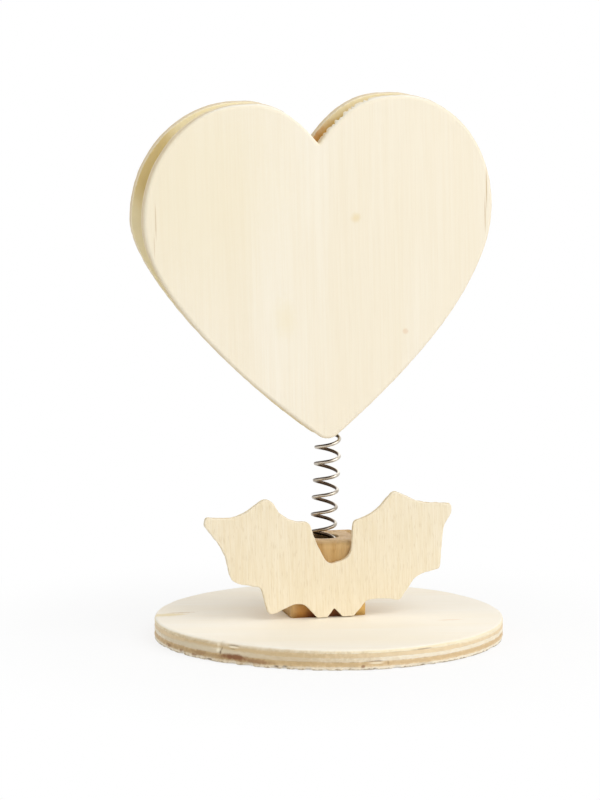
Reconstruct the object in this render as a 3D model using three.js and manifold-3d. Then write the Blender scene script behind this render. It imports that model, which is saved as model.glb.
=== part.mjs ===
// Memo holder: two plywood hearts on a coil spring, standing on a round plywood base.
// Memo slips stand in the gap between the hearts, and the spring lets the hearts nod and sway.
// Millimetres, +Z up, front towards -Y. The origin is the centre of the base's underside.

import * as THREE from 'three';
import { mergeVertices } from 'three/addons/utils/BufferGeometryUtils.js';
import Module from 'manifold-3d';

// Round base board
const BASE_DIAMETER = 84;
const BASE_THICKNESS = 4.8;
const BASE_EDGE_EASE = 0.8;
const BASE_SIDES = 96;

// Hardwood block glued on the base, its front face a little before the base's centre line
const BLOCK_WIDTH = 18.5;
const BLOCK_DEPTH = 15.5;
const BLOCK_FORWARD = 1.5;
const BLOCK_SHIFT = -0.3;
const BLOCK_HEIGHT = 18.2;
const BLOCK_CORNER_RADIUS = 0.9;
const BLOCK_EDGE_EASE = 0.6;
const SPRING_SETBACK = 8.5;
const SPRING_HOLE_DEPTH = 6;
const SPRING_HOLE_SIDES = 32;

// Coil spring, a bare tension spring pulled open
const SPRING_DIAMETER = 6.5;
const SPRING_WIRE = 0.85;
const SPRING_PITCH = 4.12;
const SPRING_EXPOSED = 25.1;
const SPRING_FOOT_SHIFT = 0.5;
const SPRING_TOP_SHIFT = 1.5;
const SPRING_START_DEG = 79;
const STEPS_PER_TURN = 8;
const WIRE_SIDES = 5;

// Clearances: round the spring, and the glue line between parts that stand at an angle
const SPRING_CLEARANCE = 0.35;
const END_CLEARANCE = 0.3;
const GLUE_LINE = 0.3;

// Pair of heart panels, measured from the rounded tip upwards and from the upright line through the tip.
// They are cut by hand: the right halves match, the left ones differ a little.
const HEART_RIGHT_HALF = 41.5;
const HEART_RIGHT_WAIST = 18.5;
const FRONT_LEFT_HALF = 43.4;
const FRONT_LEFT_WAIST = 16.2;
const REAR_LEFT_HALF = 44.3;
const REAR_LEFT_WAIST = 12;
const HEART_HEIGHT = 81.7;
const HEART_THICKNESS = 3;
const HEART_EDGE_EASE = 0.7;
const LOBE_SPACING = 38;
const NOTCH_SHIFT = -0.6;
const NOTCH_DEPTH = 10.4;
const NOTCH_ANGLE_DEG = 53;
const NOTCH_HANDLE = 14;
const LOBE_INNER_HANDLE = 4.3;
const WIDEST_HEIGHT = 54.6;
const FLANK_ANGLE_DEG = 38;
const FLANK_HANDLE = 25;
const TIP_RADIUS = 3.6;
const HEART_OFFSET = -1.35;
const REAR_HEART_DROP = 0.8;
const HEAD_LEAN_DEG = 4;
const HEAD_ROLL_DEG = -2.4;

// Spacer glued between the hearts, with a slot from below for the spring's top
const SPACER_BOTTOM = 7;
const SPACER_HEIGHT = 14;
const SPACER_BOTTOM_WIDTH = 15;
const SPACER_TOP_WIDTH = 26;
const SPACER_SLOT_DEPTH = 8;

// Pair of holly leaves cut as one plate, drawn on a squared pattern. A corner is [across, up, ease] in
// squares from the foot of the plate's centre line, and its ease is how far it is rounded along both sides.
const LEAF_SQUARE = 1;
const LEAF_THICKNESS = 1.5;
const LEAF_TILT_DEG = -1.6;
const LEAF_FOOT_NOTCH = [1, 1.85, 0.4];
const LEAF_RIGHT = [
  [5.45, 14, 2.6],
  [6.2, 22.7, 1.1],
  [11.3, 24.1, 3],
  [16.5, 29.5, 1.4],
  [23, 26.1, 2.4],
  [30.65, 25.35, 0.7],
  [30.75, 23.1, 0.8],
  [28.6, 20.2, 2],
  [27.5, 9.55, 1],
  [23.4, 8.85, 1],
  [21.3, 7.95, 1],
  [17.3, 2.55, 0.9],
  [12.8, 3.4, 1.6],
  [9.3, 3.3, 1.2],
];
const LEAF_RIGHT_FOOT = [[5.85, 0, 0.5], [3, 0, 0.5]];
const LEAF_LEFT_FOOT = [[-0.6, 0, 0.4], [-3.2, 0, 0.5]];
const LEAF_LEFT = [
  [-6.1, 3, 0.8],
  [-8.6, 3.7, 1.6],
  [-15.1, 0.75, 2.2],
  [-16.8, 8, 0.9],
  [-24.1, 9.75, 2.4],
  [-25.55, 17.5, 3],
  [-30.35, 24, 0.7],
  [-29.9, 25.95, 0.8],
  [-22.2, 25.2, 3.5],
  [-15.6, 29.45, 1.1],
  [-13.6, 28.95, 0.9],
  [-11.9, 25.95, 0.8],
  [-8.9, 23.7, 1.5],
  [-4.5, 23.15, 1.2],
  [-3.15, 18.4, 2.4],
  [-0.15, 12.4, 1.9],
];

// How finely curves and eased edges are cut into flats
const HEART_STEPS = 14;
const LEAF_STEPS = 4;
const CORNER_STEPS = 3;
const EASE_STEPS = 2;

// Sizes that follow from the ones above
const radians = THREE.MathUtils.degToRad;
const blockTop = BASE_THICKNESS + BLOCK_HEIGHT;
const blockY = BLOCK_DEPTH / 2 - BLOCK_FORWARD;
const springY = SPRING_SETBACK - BLOCK_FORWARD;
const headBottom = blockTop + SPRING_EXPOSED;
const heartGap = SPRING_DIAMETER + 2 * SPRING_CLEARANCE;
const springBore = SPRING_DIAMETER + 2 * SPRING_CLEARANCE;

const wasm = await Module();
wasm.setup();

// Finishes
function wood(color, roughness) {
  return new THREE.MeshStandardMaterial({ color, roughness, metalness: 0 });
}
const basePly = wood(0xf5ecd4, 0.7);
const heartPly = wood(0xf4e9cd, 0.7);
const leafPly = wood(0xf0dfba, 0.75);
const hardwood = wood(0xc9a468, 0.65);
const steel = new THREE.MeshStandardMaterial({ color: 0x8d8a86, roughness: 0.3, metalness: 1 });

// Boolean cut of one closed geometry by another
function toSolid(geometry) {
  const bare = geometry.clone();
  bare.deleteAttribute('normal');
  bare.deleteAttribute('uv');
  const merged = mergeVertices(bare, 1e-4);
  const vertProperties = new Float32Array(merged.attributes.position.array);
  const triVerts = new Uint32Array(merged.index.array);
  return new wasm.Manifold(new wasm.Mesh({ numProp: 3, vertProperties, triVerts }));
}

function subtract(geometry, tool) {
  const mesh = toSolid(geometry).subtract(toSolid(tool)).getMesh();
  const result = new THREE.BufferGeometry();
  result.setAttribute('position', new THREE.BufferAttribute(mesh.vertProperties, 3));
  result.setIndex(new THREE.BufferAttribute(mesh.triVerts, 1));
  result.computeVertexNormals();
  return result;
}

// A board cut to an outline, lying on the XY plane, with both its edges eased or, at 0, left sharp
function board(outline, thickness, ease, curveSegments) {
  const geometry = new THREE.ExtrudeGeometry(outline, {
    depth: thickness - 2 * ease,
    bevelEnabled: ease > 0,
    bevelThickness: ease,
    bevelSize: ease,
    bevelOffset: -ease,
    bevelSegments: EASE_STEPS,
    curveSegments,
  });
  return geometry.translate(0, 0, ease);
}

// The same board stood up, its outline in XZ and its back face at the given Y
function standingBoard(outline, thickness, ease, steps, backY) {
  return board(outline, thickness, ease, steps).rotateX(Math.PI / 2).translate(0, backY, 0);
}

function named(name, geometry, material) {
  const mesh = new THREE.Mesh(geometry, material);
  mesh.name = name;
  return mesh;
}

function makeBase() {
  const radius = BASE_DIAMETER / 2;
  const ease = BASE_EDGE_EASE;
  const profile = new THREE.Path();
  profile.moveTo(0, 0);
  profile.lineTo(radius - ease, 0);
  profile.absarc(radius - ease, ease, ease, -Math.PI / 2, 0, false);
  profile.absarc(radius - ease, BASE_THICKNESS - ease, ease, 0, Math.PI / 2, false);
  profile.lineTo(0, BASE_THICKNESS);
  const geometry = new THREE.LatheGeometry(profile.getPoints(EASE_STEPS), BASE_SIDES);
  return named('base_disc', geometry.rotateX(Math.PI / 2), basePly);
}

function roundedRectangle(width, depth, radius) {
  const x = width / 2 - radius;
  const y = depth / 2 - radius;
  const outline = new THREE.Shape();
  outline.absarc(x, -y, radius, -Math.PI / 2, 0, false);
  outline.absarc(x, y, radius, 0, Math.PI / 2, false);
  outline.absarc(-x, y, radius, Math.PI / 2, Math.PI, false);
  outline.absarc(-x, -y, radius, Math.PI, 1.5 * Math.PI, false);
  outline.closePath();
  return outline;
}

function makeBlock() {
  const outline = roundedRectangle(BLOCK_WIDTH, BLOCK_DEPTH, BLOCK_CORNER_RADIUS);
  const body = board(outline, BLOCK_HEIGHT, BLOCK_EDGE_EASE, CORNER_STEPS);
  body.translate(BLOCK_SHIFT, blockY, BASE_THICKNESS);
  const toolLength = 2 * SPRING_HOLE_DEPTH;
  const tool = new THREE.CylinderGeometry(springBore / 2, springBore / 2, toolLength, SPRING_HOLE_SIDES);
  tool.rotateX(Math.PI / 2).translate(SPRING_FOOT_SHIFT, springY, blockTop);
  return named('stem_block', subtract(body, tool), hardwood);
}

// Leaf outline: straight sides between tips and hollows, each corner rounded by a quadratic curve
function leafOutline() {
  const drawn = [...LEAF_RIGHT, ...LEAF_RIGHT_FOOT, LEAF_FOOT_NOTCH, ...LEAF_LEFT_FOOT, ...LEAF_LEFT];
  const corners = drawn.map(([across, up, ease]) => ({
    point: new THREE.Vector2(across, up).multiplyScalar(LEAF_SQUARE),
    ease: ease * LEAF_SQUARE,
  }));
  const outline = new THREE.Shape();
  corners.forEach(({ point, ease }, i) => {
    const before = corners.at(i - 1).point;
    const after = corners[(i + 1) % corners.length].point;
    const start = point.clone().addScaledVector(before.clone().sub(point).normalize(), ease);
    const end = point.clone().addScaledVector(after.clone().sub(point).normalize(), ease);
    if (i === 0) outline.moveTo(start.x, start.y);
    else outline.lineTo(start.x, start.y);
    outline.quadraticCurveTo(point.x, point.y, end.x, end.y);
  });
  outline.closePath();
  return outline;
}

function makeLeaf() {
  const backY = -BLOCK_FORWARD - GLUE_LINE;
  const geometry = standingBoard(leafOutline(), LEAF_THICKNESS, 0, LEAF_STEPS, backY);
  const mesh = named('leaf_plate', geometry, leafPly);
  const feet = [...LEAF_RIGHT_FOOT, ...LEAF_LEFT_FOOT].map(([across]) => Math.abs(across));
  const lift = Math.max(...feet) * LEAF_SQUARE * Math.sin(Math.abs(radians(LEAF_TILT_DEG)));
  mesh.position.set(BLOCK_SHIFT, 0, BASE_THICKNESS + GLUE_LINE + lift);
  mesh.rotation.y = radians(LEAF_TILT_DEG);
  return mesh;
}

// Heart outline, tip at the origin: a round tip, long convex flanks and two lobes that meet in a notch
function heartOutline(leftHalf, leftWaist) {
  const rightHalf = HEART_RIGHT_HALF;
  const lobe = LOBE_SPACING / 2;
  const notch = HEART_HEIGHT - NOTCH_DEPTH;
  const flank = radians(FLANK_ANGLE_DEG);
  const dip = radians(NOTCH_ANGLE_DEG);
  const quarter = 0.552;
  const tip = new THREE.Vector2(TIP_RADIUS * Math.sin(flank), TIP_RADIUS * (1 - Math.cos(flank)));
  const flankX = tip.x + FLANK_HANDLE * Math.cos(flank);
  const flankZ = tip.y + FLANK_HANDLE * Math.sin(flank);
  const rightOuterX = lobe + quarter * (rightHalf - lobe);
  const leftOuterX = lobe + quarter * (leftHalf - lobe);
  const outerZ = WIDEST_HEIGHT + quarter * (HEART_HEIGHT - WIDEST_HEIGHT);
  const dipX = NOTCH_HANDLE * Math.cos(dip);
  const dipZ = notch + NOTCH_HANDLE * Math.sin(dip);
  const innerX = lobe - LOBE_INNER_HANDLE;
  const rightWaistZ = WIDEST_HEIGHT - HEART_RIGHT_WAIST;
  const leftWaistZ = WIDEST_HEIGHT - leftWaist;
  const outline = new THREE.Shape();
  outline.absarc(0, TIP_RADIUS, TIP_RADIUS, -Math.PI / 2 - flank, flank - Math.PI / 2, false);
  outline.bezierCurveTo(flankX, flankZ, rightHalf, rightWaistZ, rightHalf, WIDEST_HEIGHT);
  outline.bezierCurveTo(rightHalf, outerZ, rightOuterX, HEART_HEIGHT, lobe, HEART_HEIGHT);
  outline.bezierCurveTo(innerX, HEART_HEIGHT, NOTCH_SHIFT + dipX, dipZ, NOTCH_SHIFT, notch);
  outline.bezierCurveTo(NOTCH_SHIFT - dipX, dipZ, -innerX, HEART_HEIGHT, -lobe, HEART_HEIGHT);
  outline.bezierCurveTo(-leftOuterX, HEART_HEIGHT, -leftHalf, outerZ, -leftHalf, WIDEST_HEIGHT);
  outline.bezierCurveTo(-leftHalf, leftWaistZ, -flankX, flankZ, -tip.x, tip.y);
  return outline;
}

function makeHeart(name, outline, backY, drop) {
  const geometry = standingBoard(outline, HEART_THICKNESS, HEART_EDGE_EASE, HEART_STEPS, backY);
  return named(name, geometry.translate(HEART_OFFSET, 0, -drop), heartPly);
}

function makeSpacer() {
  const low = SPACER_BOTTOM;
  const high = SPACER_BOTTOM + SPACER_HEIGHT;
  const slotTop = SPACER_BOTTOM + SPACER_SLOT_DEPTH;
  const bottom = SPACER_BOTTOM_WIDTH / 2;
  const top = SPACER_TOP_WIDTH / 2;
  const slot = springBore / 2;
  const outline = new THREE.Shape([
    new THREE.Vector2(HEART_OFFSET - bottom, low),
    new THREE.Vector2(-slot, low),
    new THREE.Vector2(-slot, slotTop),
    new THREE.Vector2(slot, slotTop),
    new THREE.Vector2(slot, low),
    new THREE.Vector2(HEART_OFFSET + bottom, low),
    new THREE.Vector2(HEART_OFFSET + top, high),
    new THREE.Vector2(HEART_OFFSET - top, high),
  ]);
  const thickness = heartGap - 2 * GLUE_LINE;
  const geometry = new THREE.ExtrudeGeometry(outline, { depth: thickness, bevelEnabled: false });
  return named('heart_spacer', geometry.rotateX(Math.PI / 2).translate(0, thickness / 2, 0), hardwood);
}

// Spring axis: straight in the block's hole, a gentle bend in the open, straight again between the hearts
function springAxis(head) {
  const foot = new THREE.Vector3(SPRING_FOOT_SHIFT, springY, blockTop);
  const headUp = new THREE.Vector3(0, 0, 1).applyEuler(head.rotation);
  const reach = SPRING_EXPOSED / 3;
  const bend = new THREE.CubicBezierCurve3(
    foot,
    foot.clone().setZ(blockTop + reach),
    head.position.clone().addScaledVector(headUp, -reach),
    head.position,
  );
  const bottom = foot.clone().setZ(blockTop - SPRING_HOLE_DEPTH + END_CLEARANCE);
  const topReach = SPACER_BOTTOM + SPACER_SLOT_DEPTH - END_CLEARANCE;
  const top = head.position.clone().addScaledVector(headUp, topReach);
  const axis = new THREE.CurvePath();
  axis.add(new THREE.LineCurve3(bottom, foot));
  axis.add(bend);
  axis.add(new THREE.LineCurve3(head.position, top));
  return axis;
}

// Point on the coil: a turn angle about the axis at a distance along it
function coilPoint(axis, distance, angle) {
  const length = axis.getLength();
  const u = distance / length;
  const centre = axis.getPoint(u);
  const along = axis.getTangent(u);
  const across = new THREE.Vector3(1, 0, 0).addScaledVector(along, -along.x).normalize();
  const beside = along.clone().cross(across);
  const radius = (SPRING_DIAMETER - SPRING_WIRE) / 2;
  return centre
    .addScaledVector(across, radius * Math.cos(angle))
    .addScaledVector(beside, radius * Math.sin(angle));
}

// Wire path: a straight end, the turns at a steady pitch, and a straight end again
function wirePath(axis) {
  const length = axis.getLength();
  const inBlock = SPRING_HOLE_DEPTH - END_CLEARANCE;
  const turnsAt = (distance) => (distance - inBlock) / SPRING_PITCH;
  const angleAt = (distance) => radians(SPRING_START_DEG) + 2 * Math.PI * turnsAt(distance);
  const first = SPRING_WIRE;
  const last = length - SPRING_WIRE;
  const steps = Math.round(((last - first) / SPRING_PITCH) * STEPS_PER_TURN);
  const points = [coilPoint(axis, 0, angleAt(first))];
  for (let i = 0; i <= steps; i += 1) {
    const distance = first + ((last - first) * i) / steps;
    points.push(coilPoint(axis, distance, angleAt(distance)));
  }
  points.push(coilPoint(axis, length, angleAt(last)));
  return points;
}

// Least distance between stretches of the wire that are at least half a turn apart, less its thickness
function leastGap(points) {
  const apart = STEPS_PER_TURN / 2;
  let least = Infinity;
  for (let i = 0; i < points.length; i += 1) {
    for (let j = i + apart; j < points.length - 1; j += 1) {
      const stretch = new THREE.Line3(points[j], points[j + 1]);
      const nearest = stretch.closestPointToPoint(points[i], true, new THREE.Vector3());
      least = Math.min(least, nearest.distanceTo(points[i]));
    }
  }
  return least - SPRING_WIRE;
}

// Closed tube along a list of points, its rings carried along without twist
function wireTube(points, diameter, sides) {
  const positions = [];
  const indices = [];
  const side = new THREE.Vector3(1, 0, 0);
  points.forEach((point, i) => {
    const before = points[Math.max(i - 1, 0)];
    const after = points[Math.min(i + 1, points.length - 1)];
    const arriving = point.clone().sub(before).normalize();
    const leaving = after.clone().sub(point).normalize();
    const along = arriving.add(leaving).normalize();
    side.addScaledVector(along, -side.dot(along)).normalize();
    const up = along.clone().cross(side);
    for (let k = 0; k < sides; k += 1) {
      const turn = (2 * Math.PI * k) / sides;
      const corner = point.clone()
        .addScaledVector(side, (diameter / 2) * Math.cos(turn))
        .addScaledVector(up, (diameter / 2) * Math.sin(turn));
      positions.push(corner.x, corner.y, corner.z);
    }
  });
  for (let i = 0; i < points.length - 1; i += 1) {
    for (let k = 0; k < sides; k += 1) {
      const a = i * sides + k;
      const b = i * sides + ((k + 1) % sides);
      indices.push(a, b, b + sides, a, b + sides, a + sides);
    }
  }
  const lastRing = (points.length - 1) * sides;
  for (let k = 1; k < sides - 1; k += 1) {
    indices.push(0, k + 1, k, lastRing, lastRing + k, lastRing + k + 1);
  }
  const geometry = new THREE.BufferGeometry();
  geometry.setAttribute('position', new THREE.Float32BufferAttribute(positions, 3));
  geometry.setIndex(indices);
  geometry.computeVertexNormals();
  return geometry;
}

function makeSpring(head) {
  const points = wirePath(springAxis(head));
  console.log(`spring: least gap to itself ${leastGap(points).toFixed(2)} mm`);
  return named('spring', wireTube(points, SPRING_WIRE, WIRE_SIDES), steel);
}

function makeHead() {
  const head = new THREE.Group();
  head.position.set(SPRING_TOP_SHIFT, springY, headBottom);
  head.rotation.set(radians(HEAD_LEAN_DEG), radians(HEAD_ROLL_DEG), 0);
  const front = heartOutline(FRONT_LEFT_HALF, FRONT_LEFT_WAIST);
  const rear = heartOutline(REAR_LEFT_HALF, REAR_LEFT_WAIST);
  const rearBack = heartGap / 2 + HEART_THICKNESS;
  head.add(makeHeart('heart_front', front, -heartGap / 2, 0));
  head.add(makeHeart('heart_back', rear, rearBack, REAR_HEART_DROP));
  head.add(makeSpacer());
  return head;
}

const memoHolder = new THREE.Group();
const head = makeHead();
memoHolder.add(makeBase(), makeBlock(), makeLeaf(), makeSpring(head), head);

export default memoHolder;
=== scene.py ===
"""Looks of a wooden memo holder: two plywood hearts on a coil spring, on a round plywood base.

Each piece is drawn in millimetres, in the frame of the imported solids, and stored in its mesh in metres.
+Z is up, the front is towards -Y, and the origin is the centre of the base's underside.
"""

from __future__ import annotations

import logging
import math
from dataclasses import dataclass, field, replace
from enum import Enum

import bpy
import numpy as np
from mathutils import Matrix, Vector

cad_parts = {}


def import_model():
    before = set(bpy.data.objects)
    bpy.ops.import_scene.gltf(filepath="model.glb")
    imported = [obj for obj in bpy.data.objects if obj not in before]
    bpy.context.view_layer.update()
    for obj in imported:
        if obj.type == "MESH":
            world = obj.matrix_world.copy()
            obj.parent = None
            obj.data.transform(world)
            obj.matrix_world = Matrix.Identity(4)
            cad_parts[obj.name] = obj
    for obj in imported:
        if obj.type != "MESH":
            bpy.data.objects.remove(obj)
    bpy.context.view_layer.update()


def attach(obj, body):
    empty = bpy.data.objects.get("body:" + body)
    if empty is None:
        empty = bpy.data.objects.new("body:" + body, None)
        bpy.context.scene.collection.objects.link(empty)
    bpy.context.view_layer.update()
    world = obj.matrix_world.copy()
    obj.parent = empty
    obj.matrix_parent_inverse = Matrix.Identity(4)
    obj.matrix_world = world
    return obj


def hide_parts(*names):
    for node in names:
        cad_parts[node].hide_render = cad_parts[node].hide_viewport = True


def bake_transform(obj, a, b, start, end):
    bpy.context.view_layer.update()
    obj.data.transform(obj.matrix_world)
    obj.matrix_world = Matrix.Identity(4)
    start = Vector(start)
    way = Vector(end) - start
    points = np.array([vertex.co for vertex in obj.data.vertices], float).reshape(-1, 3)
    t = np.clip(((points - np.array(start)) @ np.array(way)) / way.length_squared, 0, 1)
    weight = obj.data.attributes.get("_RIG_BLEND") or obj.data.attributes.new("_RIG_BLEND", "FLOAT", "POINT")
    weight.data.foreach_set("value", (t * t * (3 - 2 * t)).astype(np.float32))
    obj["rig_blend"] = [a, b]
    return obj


log = logging.getLogger("memo_holder")

MM = 0.001
EDGE = "edge"
PLY = "ply"
BORE = "bore"
INSIDE = "inside"
UPPER = "upper"
NOISE_SEED = 20
# Half size of a mark that runs right across its piece
EVERYWHERE = 2000.0
# Plies of the thin boards, in shares of their thickness
THREE_PLIES = (1.0, 1.2, 1.0)
# Handle of the Bezier curve that is nearest to a quarter circle, in shares of the radius
QUARTER_HANDLE = 0.552
# Angle of the holder's front in the base's own drawing
DRAWN_FRONT_DEG = 270.0

Colour = tuple[float, float, float, float]
Triple = tuple[float, float, float]
Socket = bpy.types.NodeSocket
Value = float | Triple | Colour | Socket


class Body(str, Enum):
    """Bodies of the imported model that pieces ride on."""

    STAND = "stand"
    STEM = "spring_stem"
    HEAD = "head"


class Slot(str, Enum):
    """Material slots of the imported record."""

    BASE = "base_ply"
    HEART = "heart_ply"
    LEAF = "leaf_ply"
    HARDWOOD = "hardwood"
    STEEL = "spring_steel"


def tone(red: int, green: int, blue: int) -> Colour:
    """Gives the linear colour of a display colour, by the sRGB curve.

    Args:
        red: Display red, 0 to 255.
        green: Display green, 0 to 255.
        blue: Display blue, 0 to 255.

    Returns:
        Linear red, green, blue and an alpha of 1.
    """
    display = np.array([red, green, blue]) / 255
    linear = np.where(display <= 0.04045, display / 12.92, ((display + 0.055) / 1.055) ** 2.4)
    return (*linear.tolist(), 1.0)


@dataclass(frozen=True)
class Place:
    """Where a piece's own drawing lies in the frame: its origin in millimetres and its two turns."""

    origin: Triple = (0.0, 0.0, 0.0)
    lean_deg: float = 0.0
    roll_deg: float = 0.0

    def turn(self) -> np.ndarray:
        """Returns the turn matrix: the roll about Y first, then the lean about X."""
        lean, roll = math.radians(self.lean_deg), math.radians(self.roll_deg)
        return np.array(Matrix.Rotation(lean, 3, "X") @ Matrix.Rotation(roll, 3, "Y"))

    def to_frame(self, points: np.ndarray) -> np.ndarray:
        """Carries points of the drawing into the frame.

        Args:
            points: Points in the piece's own drawing, in millimetres, with the coordinates last.

        Returns:
            The same points in the frame, in millimetres.
        """
        return points @ self.turn().T + np.array(self.origin)


@dataclass
class Surface:
    """A closed surface: its points in millimetres, quads, flat end faces and vertex attributes."""

    points: np.ndarray
    quads: np.ndarray
    caps: list[np.ndarray] = field(default_factory=list)
    attributes: dict[str, np.ndarray] = field(default_factory=dict)

    def to_object(self, name: str) -> bpy.types.Object:
        """Makes the mesh object: quads shaded smooth, end faces flat.

        Args:
            name: Name of the new piece.

        Returns:
            The object, at the origin, with its place in its mesh.
        """
        mesh = bpy.data.meshes.new(name)
        faces = self.quads.tolist() + [cap.tolist() for cap in self.caps]
        mesh.from_pydata((self.points * MM).tolist(), [], faces)
        smooth = np.arange(len(faces)) < len(self.quads)
        mesh.polygons.foreach_set("use_smooth", smooth)
        for key, values in self.attributes.items():
            layer = mesh.attributes.new(key, "FLOAT", "POINT")
            layer.data.foreach_set("value", values.astype(np.float32))
        mesh.validate()
        mesh.update()
        return add_object(name, mesh)


def add_object(name: str, data: bpy.types.ID) -> bpy.types.Object:
    """Makes an object and links it to the scene.

    Args:
        name: Its name.
        data: Its mesh, light or camera.

    Returns:
        The object, at the origin.
    """
    made = bpy.data.objects.new(name, data)
    bpy.context.scene.collection.objects.link(made)
    return made


def unit(rows: np.ndarray) -> np.ndarray:
    """Scales each row to length 1."""
    return rows / np.linalg.norm(rows, axis=1, keepdims=True)


def distances(path: np.ndarray) -> np.ndarray:
    """Gives the distance along a path at each of its points: the sum of the steps before it."""
    return np.concatenate([[0.0], np.cumsum(np.linalg.norm(np.diff(path, axis=0), axis=1))])


def ring_quads(rows: int, columns: int) -> np.ndarray:
    """Joins rings of points into quads.

    Args:
        rows: Number of rings.
        columns: Points in each closed ring.

    Returns:
        Quads as rows of four indices. A quad's normal is the step to the next ring crossed with the step
        along the ring.
    """
    here = np.arange(rows * columns).reshape(rows, columns)
    beside = np.roll(here, -1, axis=1)
    corners = (here[:-1], here[1:], beside[1:], beside[:-1])
    return np.stack(corners, axis=-1).reshape(-1, 4)


def bezier(controls: np.ndarray, steps: int) -> np.ndarray:
    """Samples a Bezier curve of any degree as the sum of its controls weighted by Bernstein polynomials.

    Args:
        controls: Control points, one a row.
        steps: Number of samples.

    Returns:
        Points from the first control on, without the last control.
    """
    degree = len(controls) - 1
    t = np.arange(steps)[:, None] / steps
    k = np.arange(degree + 1)
    weights = np.array([math.comb(degree, i) for i in k]) * t**k * (1 - t) ** (degree - k)
    return weights @ np.asarray(controls, float)


def even_ring(outline: np.ndarray, spacing: float) -> np.ndarray:
    """Spaces the points of a closed outline evenly along its length.

    Args:
        outline: Closed outline, one point a row, the last joined to the first.
        spacing: Wanted distance between points.

    Returns:
        The outline's points at an even spacing.
    """
    closed = np.vstack([outline, outline[:1]])
    along = distances(closed)
    stations = np.linspace(0, along[-1], round(along[-1] / spacing), endpoint=False)
    return np.column_stack([np.interp(stations, along, axis) for axis in closed.T])


def outward(outline: np.ndarray) -> np.ndarray:
    """Gives a counter-clockwise outline's outward normals, square to the chord between neighbours."""
    chord = np.roll(outline, -1, axis=0) - np.roll(outline, 1, axis=0)
    return unit(np.column_stack([chord[:, 1], -chord[:, 0]]))


def smooth_noise(
    shape: tuple[int, ...], widths: tuple[float, ...], rng: np.random.Generator
) -> np.ndarray:
    """Makes seamless noise: white noise smoothed by a Gaussian, through its Fourier transform.

    Args:
        shape: Shape of the noise.
        widths: Width of the Gaussian along each axis, in steps.
        rng: Source of the white noise.

    Returns:
        Noise of mean 0 and spread 1.
    """
    spectrum = np.fft.fftn(rng.standard_normal(shape))
    for axis, width in enumerate(widths):
        frequency = np.fft.fftfreq(shape[axis])
        fall = np.exp(-2 * (np.pi * frequency * width) ** 2)
        spectrum *= np.expand_dims(fall, [i for i in range(len(shape)) if i != axis])
    noise = np.fft.ifftn(spectrum).real
    noise -= noise.mean()
    return noise / noise.std()


class Graph:
    """Short calls that add, set and link the nodes of one tree."""

    def __init__(self, tree: bpy.types.NodeTree) -> None:
        """Takes the tree to work on."""
        self.tree = tree

    def put(self, socket: Socket, value: Value) -> None:
        """Links a socket to another one, or sets its value.

        Args:
            socket: The input to fill.
            value: The socket that it is linked to, or its value.
        """
        if isinstance(value, bpy.types.NodeSocket):
            self.tree.links.new(value, socket)
        else:
            socket.default_value = value

    def add(
        self, kind: str, inputs: dict[str | int, Value] | None = None, **settings: object
    ) -> bpy.types.Node:
        """Adds a node.

        Args:
            kind: Node type.
            inputs: Values or sockets for its inputs, by name or number.
            **settings: Properties of the node.

        Returns:
            The node.
        """
        node = self.tree.nodes.new(kind)
        for key, value in settings.items():
            setattr(node, key, value)
        for key, value in (inputs or {}).items():
            self.put(node.inputs[key], value)
        return node

    def math(self, operation: str, *values: Value) -> Socket:
        """Adds a Math node on one to three values and returns its result."""
        return self.add("ShaderNodeMath", dict(enumerate(values)), operation=operation).outputs[0]

    def vector(self, operation: str, *values: Value) -> Socket:
        """Adds a Vector Math node and returns its vector."""
        node = self.add("ShaderNodeVectorMath", dict(enumerate(values)), operation=operation)
        return node.outputs["Vector"]

    def length(self, vector: Socket) -> Socket:
        """Adds a Vector Math node and returns the vector's length."""
        node = self.add("ShaderNodeVectorMath", {0: vector}, operation="LENGTH")
        return node.outputs["Value"]

    def remap(
        self, value: Socket, low: Value, high: Value, to_low: float = 0.0, to_high: float = 1.0
    ) -> Socket:
        """Adds a smooth, clamped Map Range node from low..high to to_low..to_high."""
        inputs = {0: value, 1: low, 2: high, 3: to_low, 4: to_high}
        return self.add("ShaderNodeMapRange", inputs, interpolation_type="SMOOTHSTEP").outputs[0]

    def mix(self, factor: Value, first: Value, second: Value, blend: str = "MIX") -> Socket:
        """Adds a colour Mix node and returns its colour."""
        inputs = {0: factor, 6: first, 7: second}
        return self.add("ShaderNodeMix", inputs, data_type="RGBA", blend_type=blend).outputs[2]

    def tint(self, colour: Value, mask: Socket, strength: float, over: Colour) -> Socket:
        """Lays a second colour over a first one, by a mask times a strength."""
        return self.mix(self.math("MULTIPLY", mask, strength), colour, over)

    def noise(self, vector: Socket, scale: float, detail: float = 2.0, roughness: float = 0.5) -> Socket:
        """Adds a Noise Texture node and returns its value."""
        inputs = {"Vector": vector, "Scale": scale, "Detail": detail, "Roughness": roughness}
        return self.add("ShaderNodeTexNoise", inputs).outputs["Fac"]

    def group(self, tree: bpy.types.NodeTree, inputs: dict[str, Value]) -> bpy.types.NodeOutputs:
        """Places a node group with its own values and returns its outputs."""
        return self.add("ShaderNodeGroup", inputs, node_tree=tree).outputs

    def dress(
        self, shader: bpy.types.Node, colour: Socket, rough: Socket, height: Socket, depth: float
    ) -> None:
        """Dresses a shader.

        Args:
            shader: The Principled BSDF.
            colour: Its colour.
            rough: Its roughness.
            height: Its relief, 0 to about 1.
            depth: Depth of the relief in millimetres.
        """
        bump = self.add("ShaderNodeBump", {"Height": height, "Distance": depth * MM, "Strength": 1.0})
        self.put(shader.inputs["Base Color"], colour)
        self.put(shader.inputs["Roughness"], rough)
        self.put(shader.inputs["Normal"], bump.outputs["Normal"])

    def attribute(self, name: str) -> Socket:
        """Reads a vertex attribute of the piece."""
        return self.add("ShaderNodeAttribute", attribute_name=name).outputs["Fac"]


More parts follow.
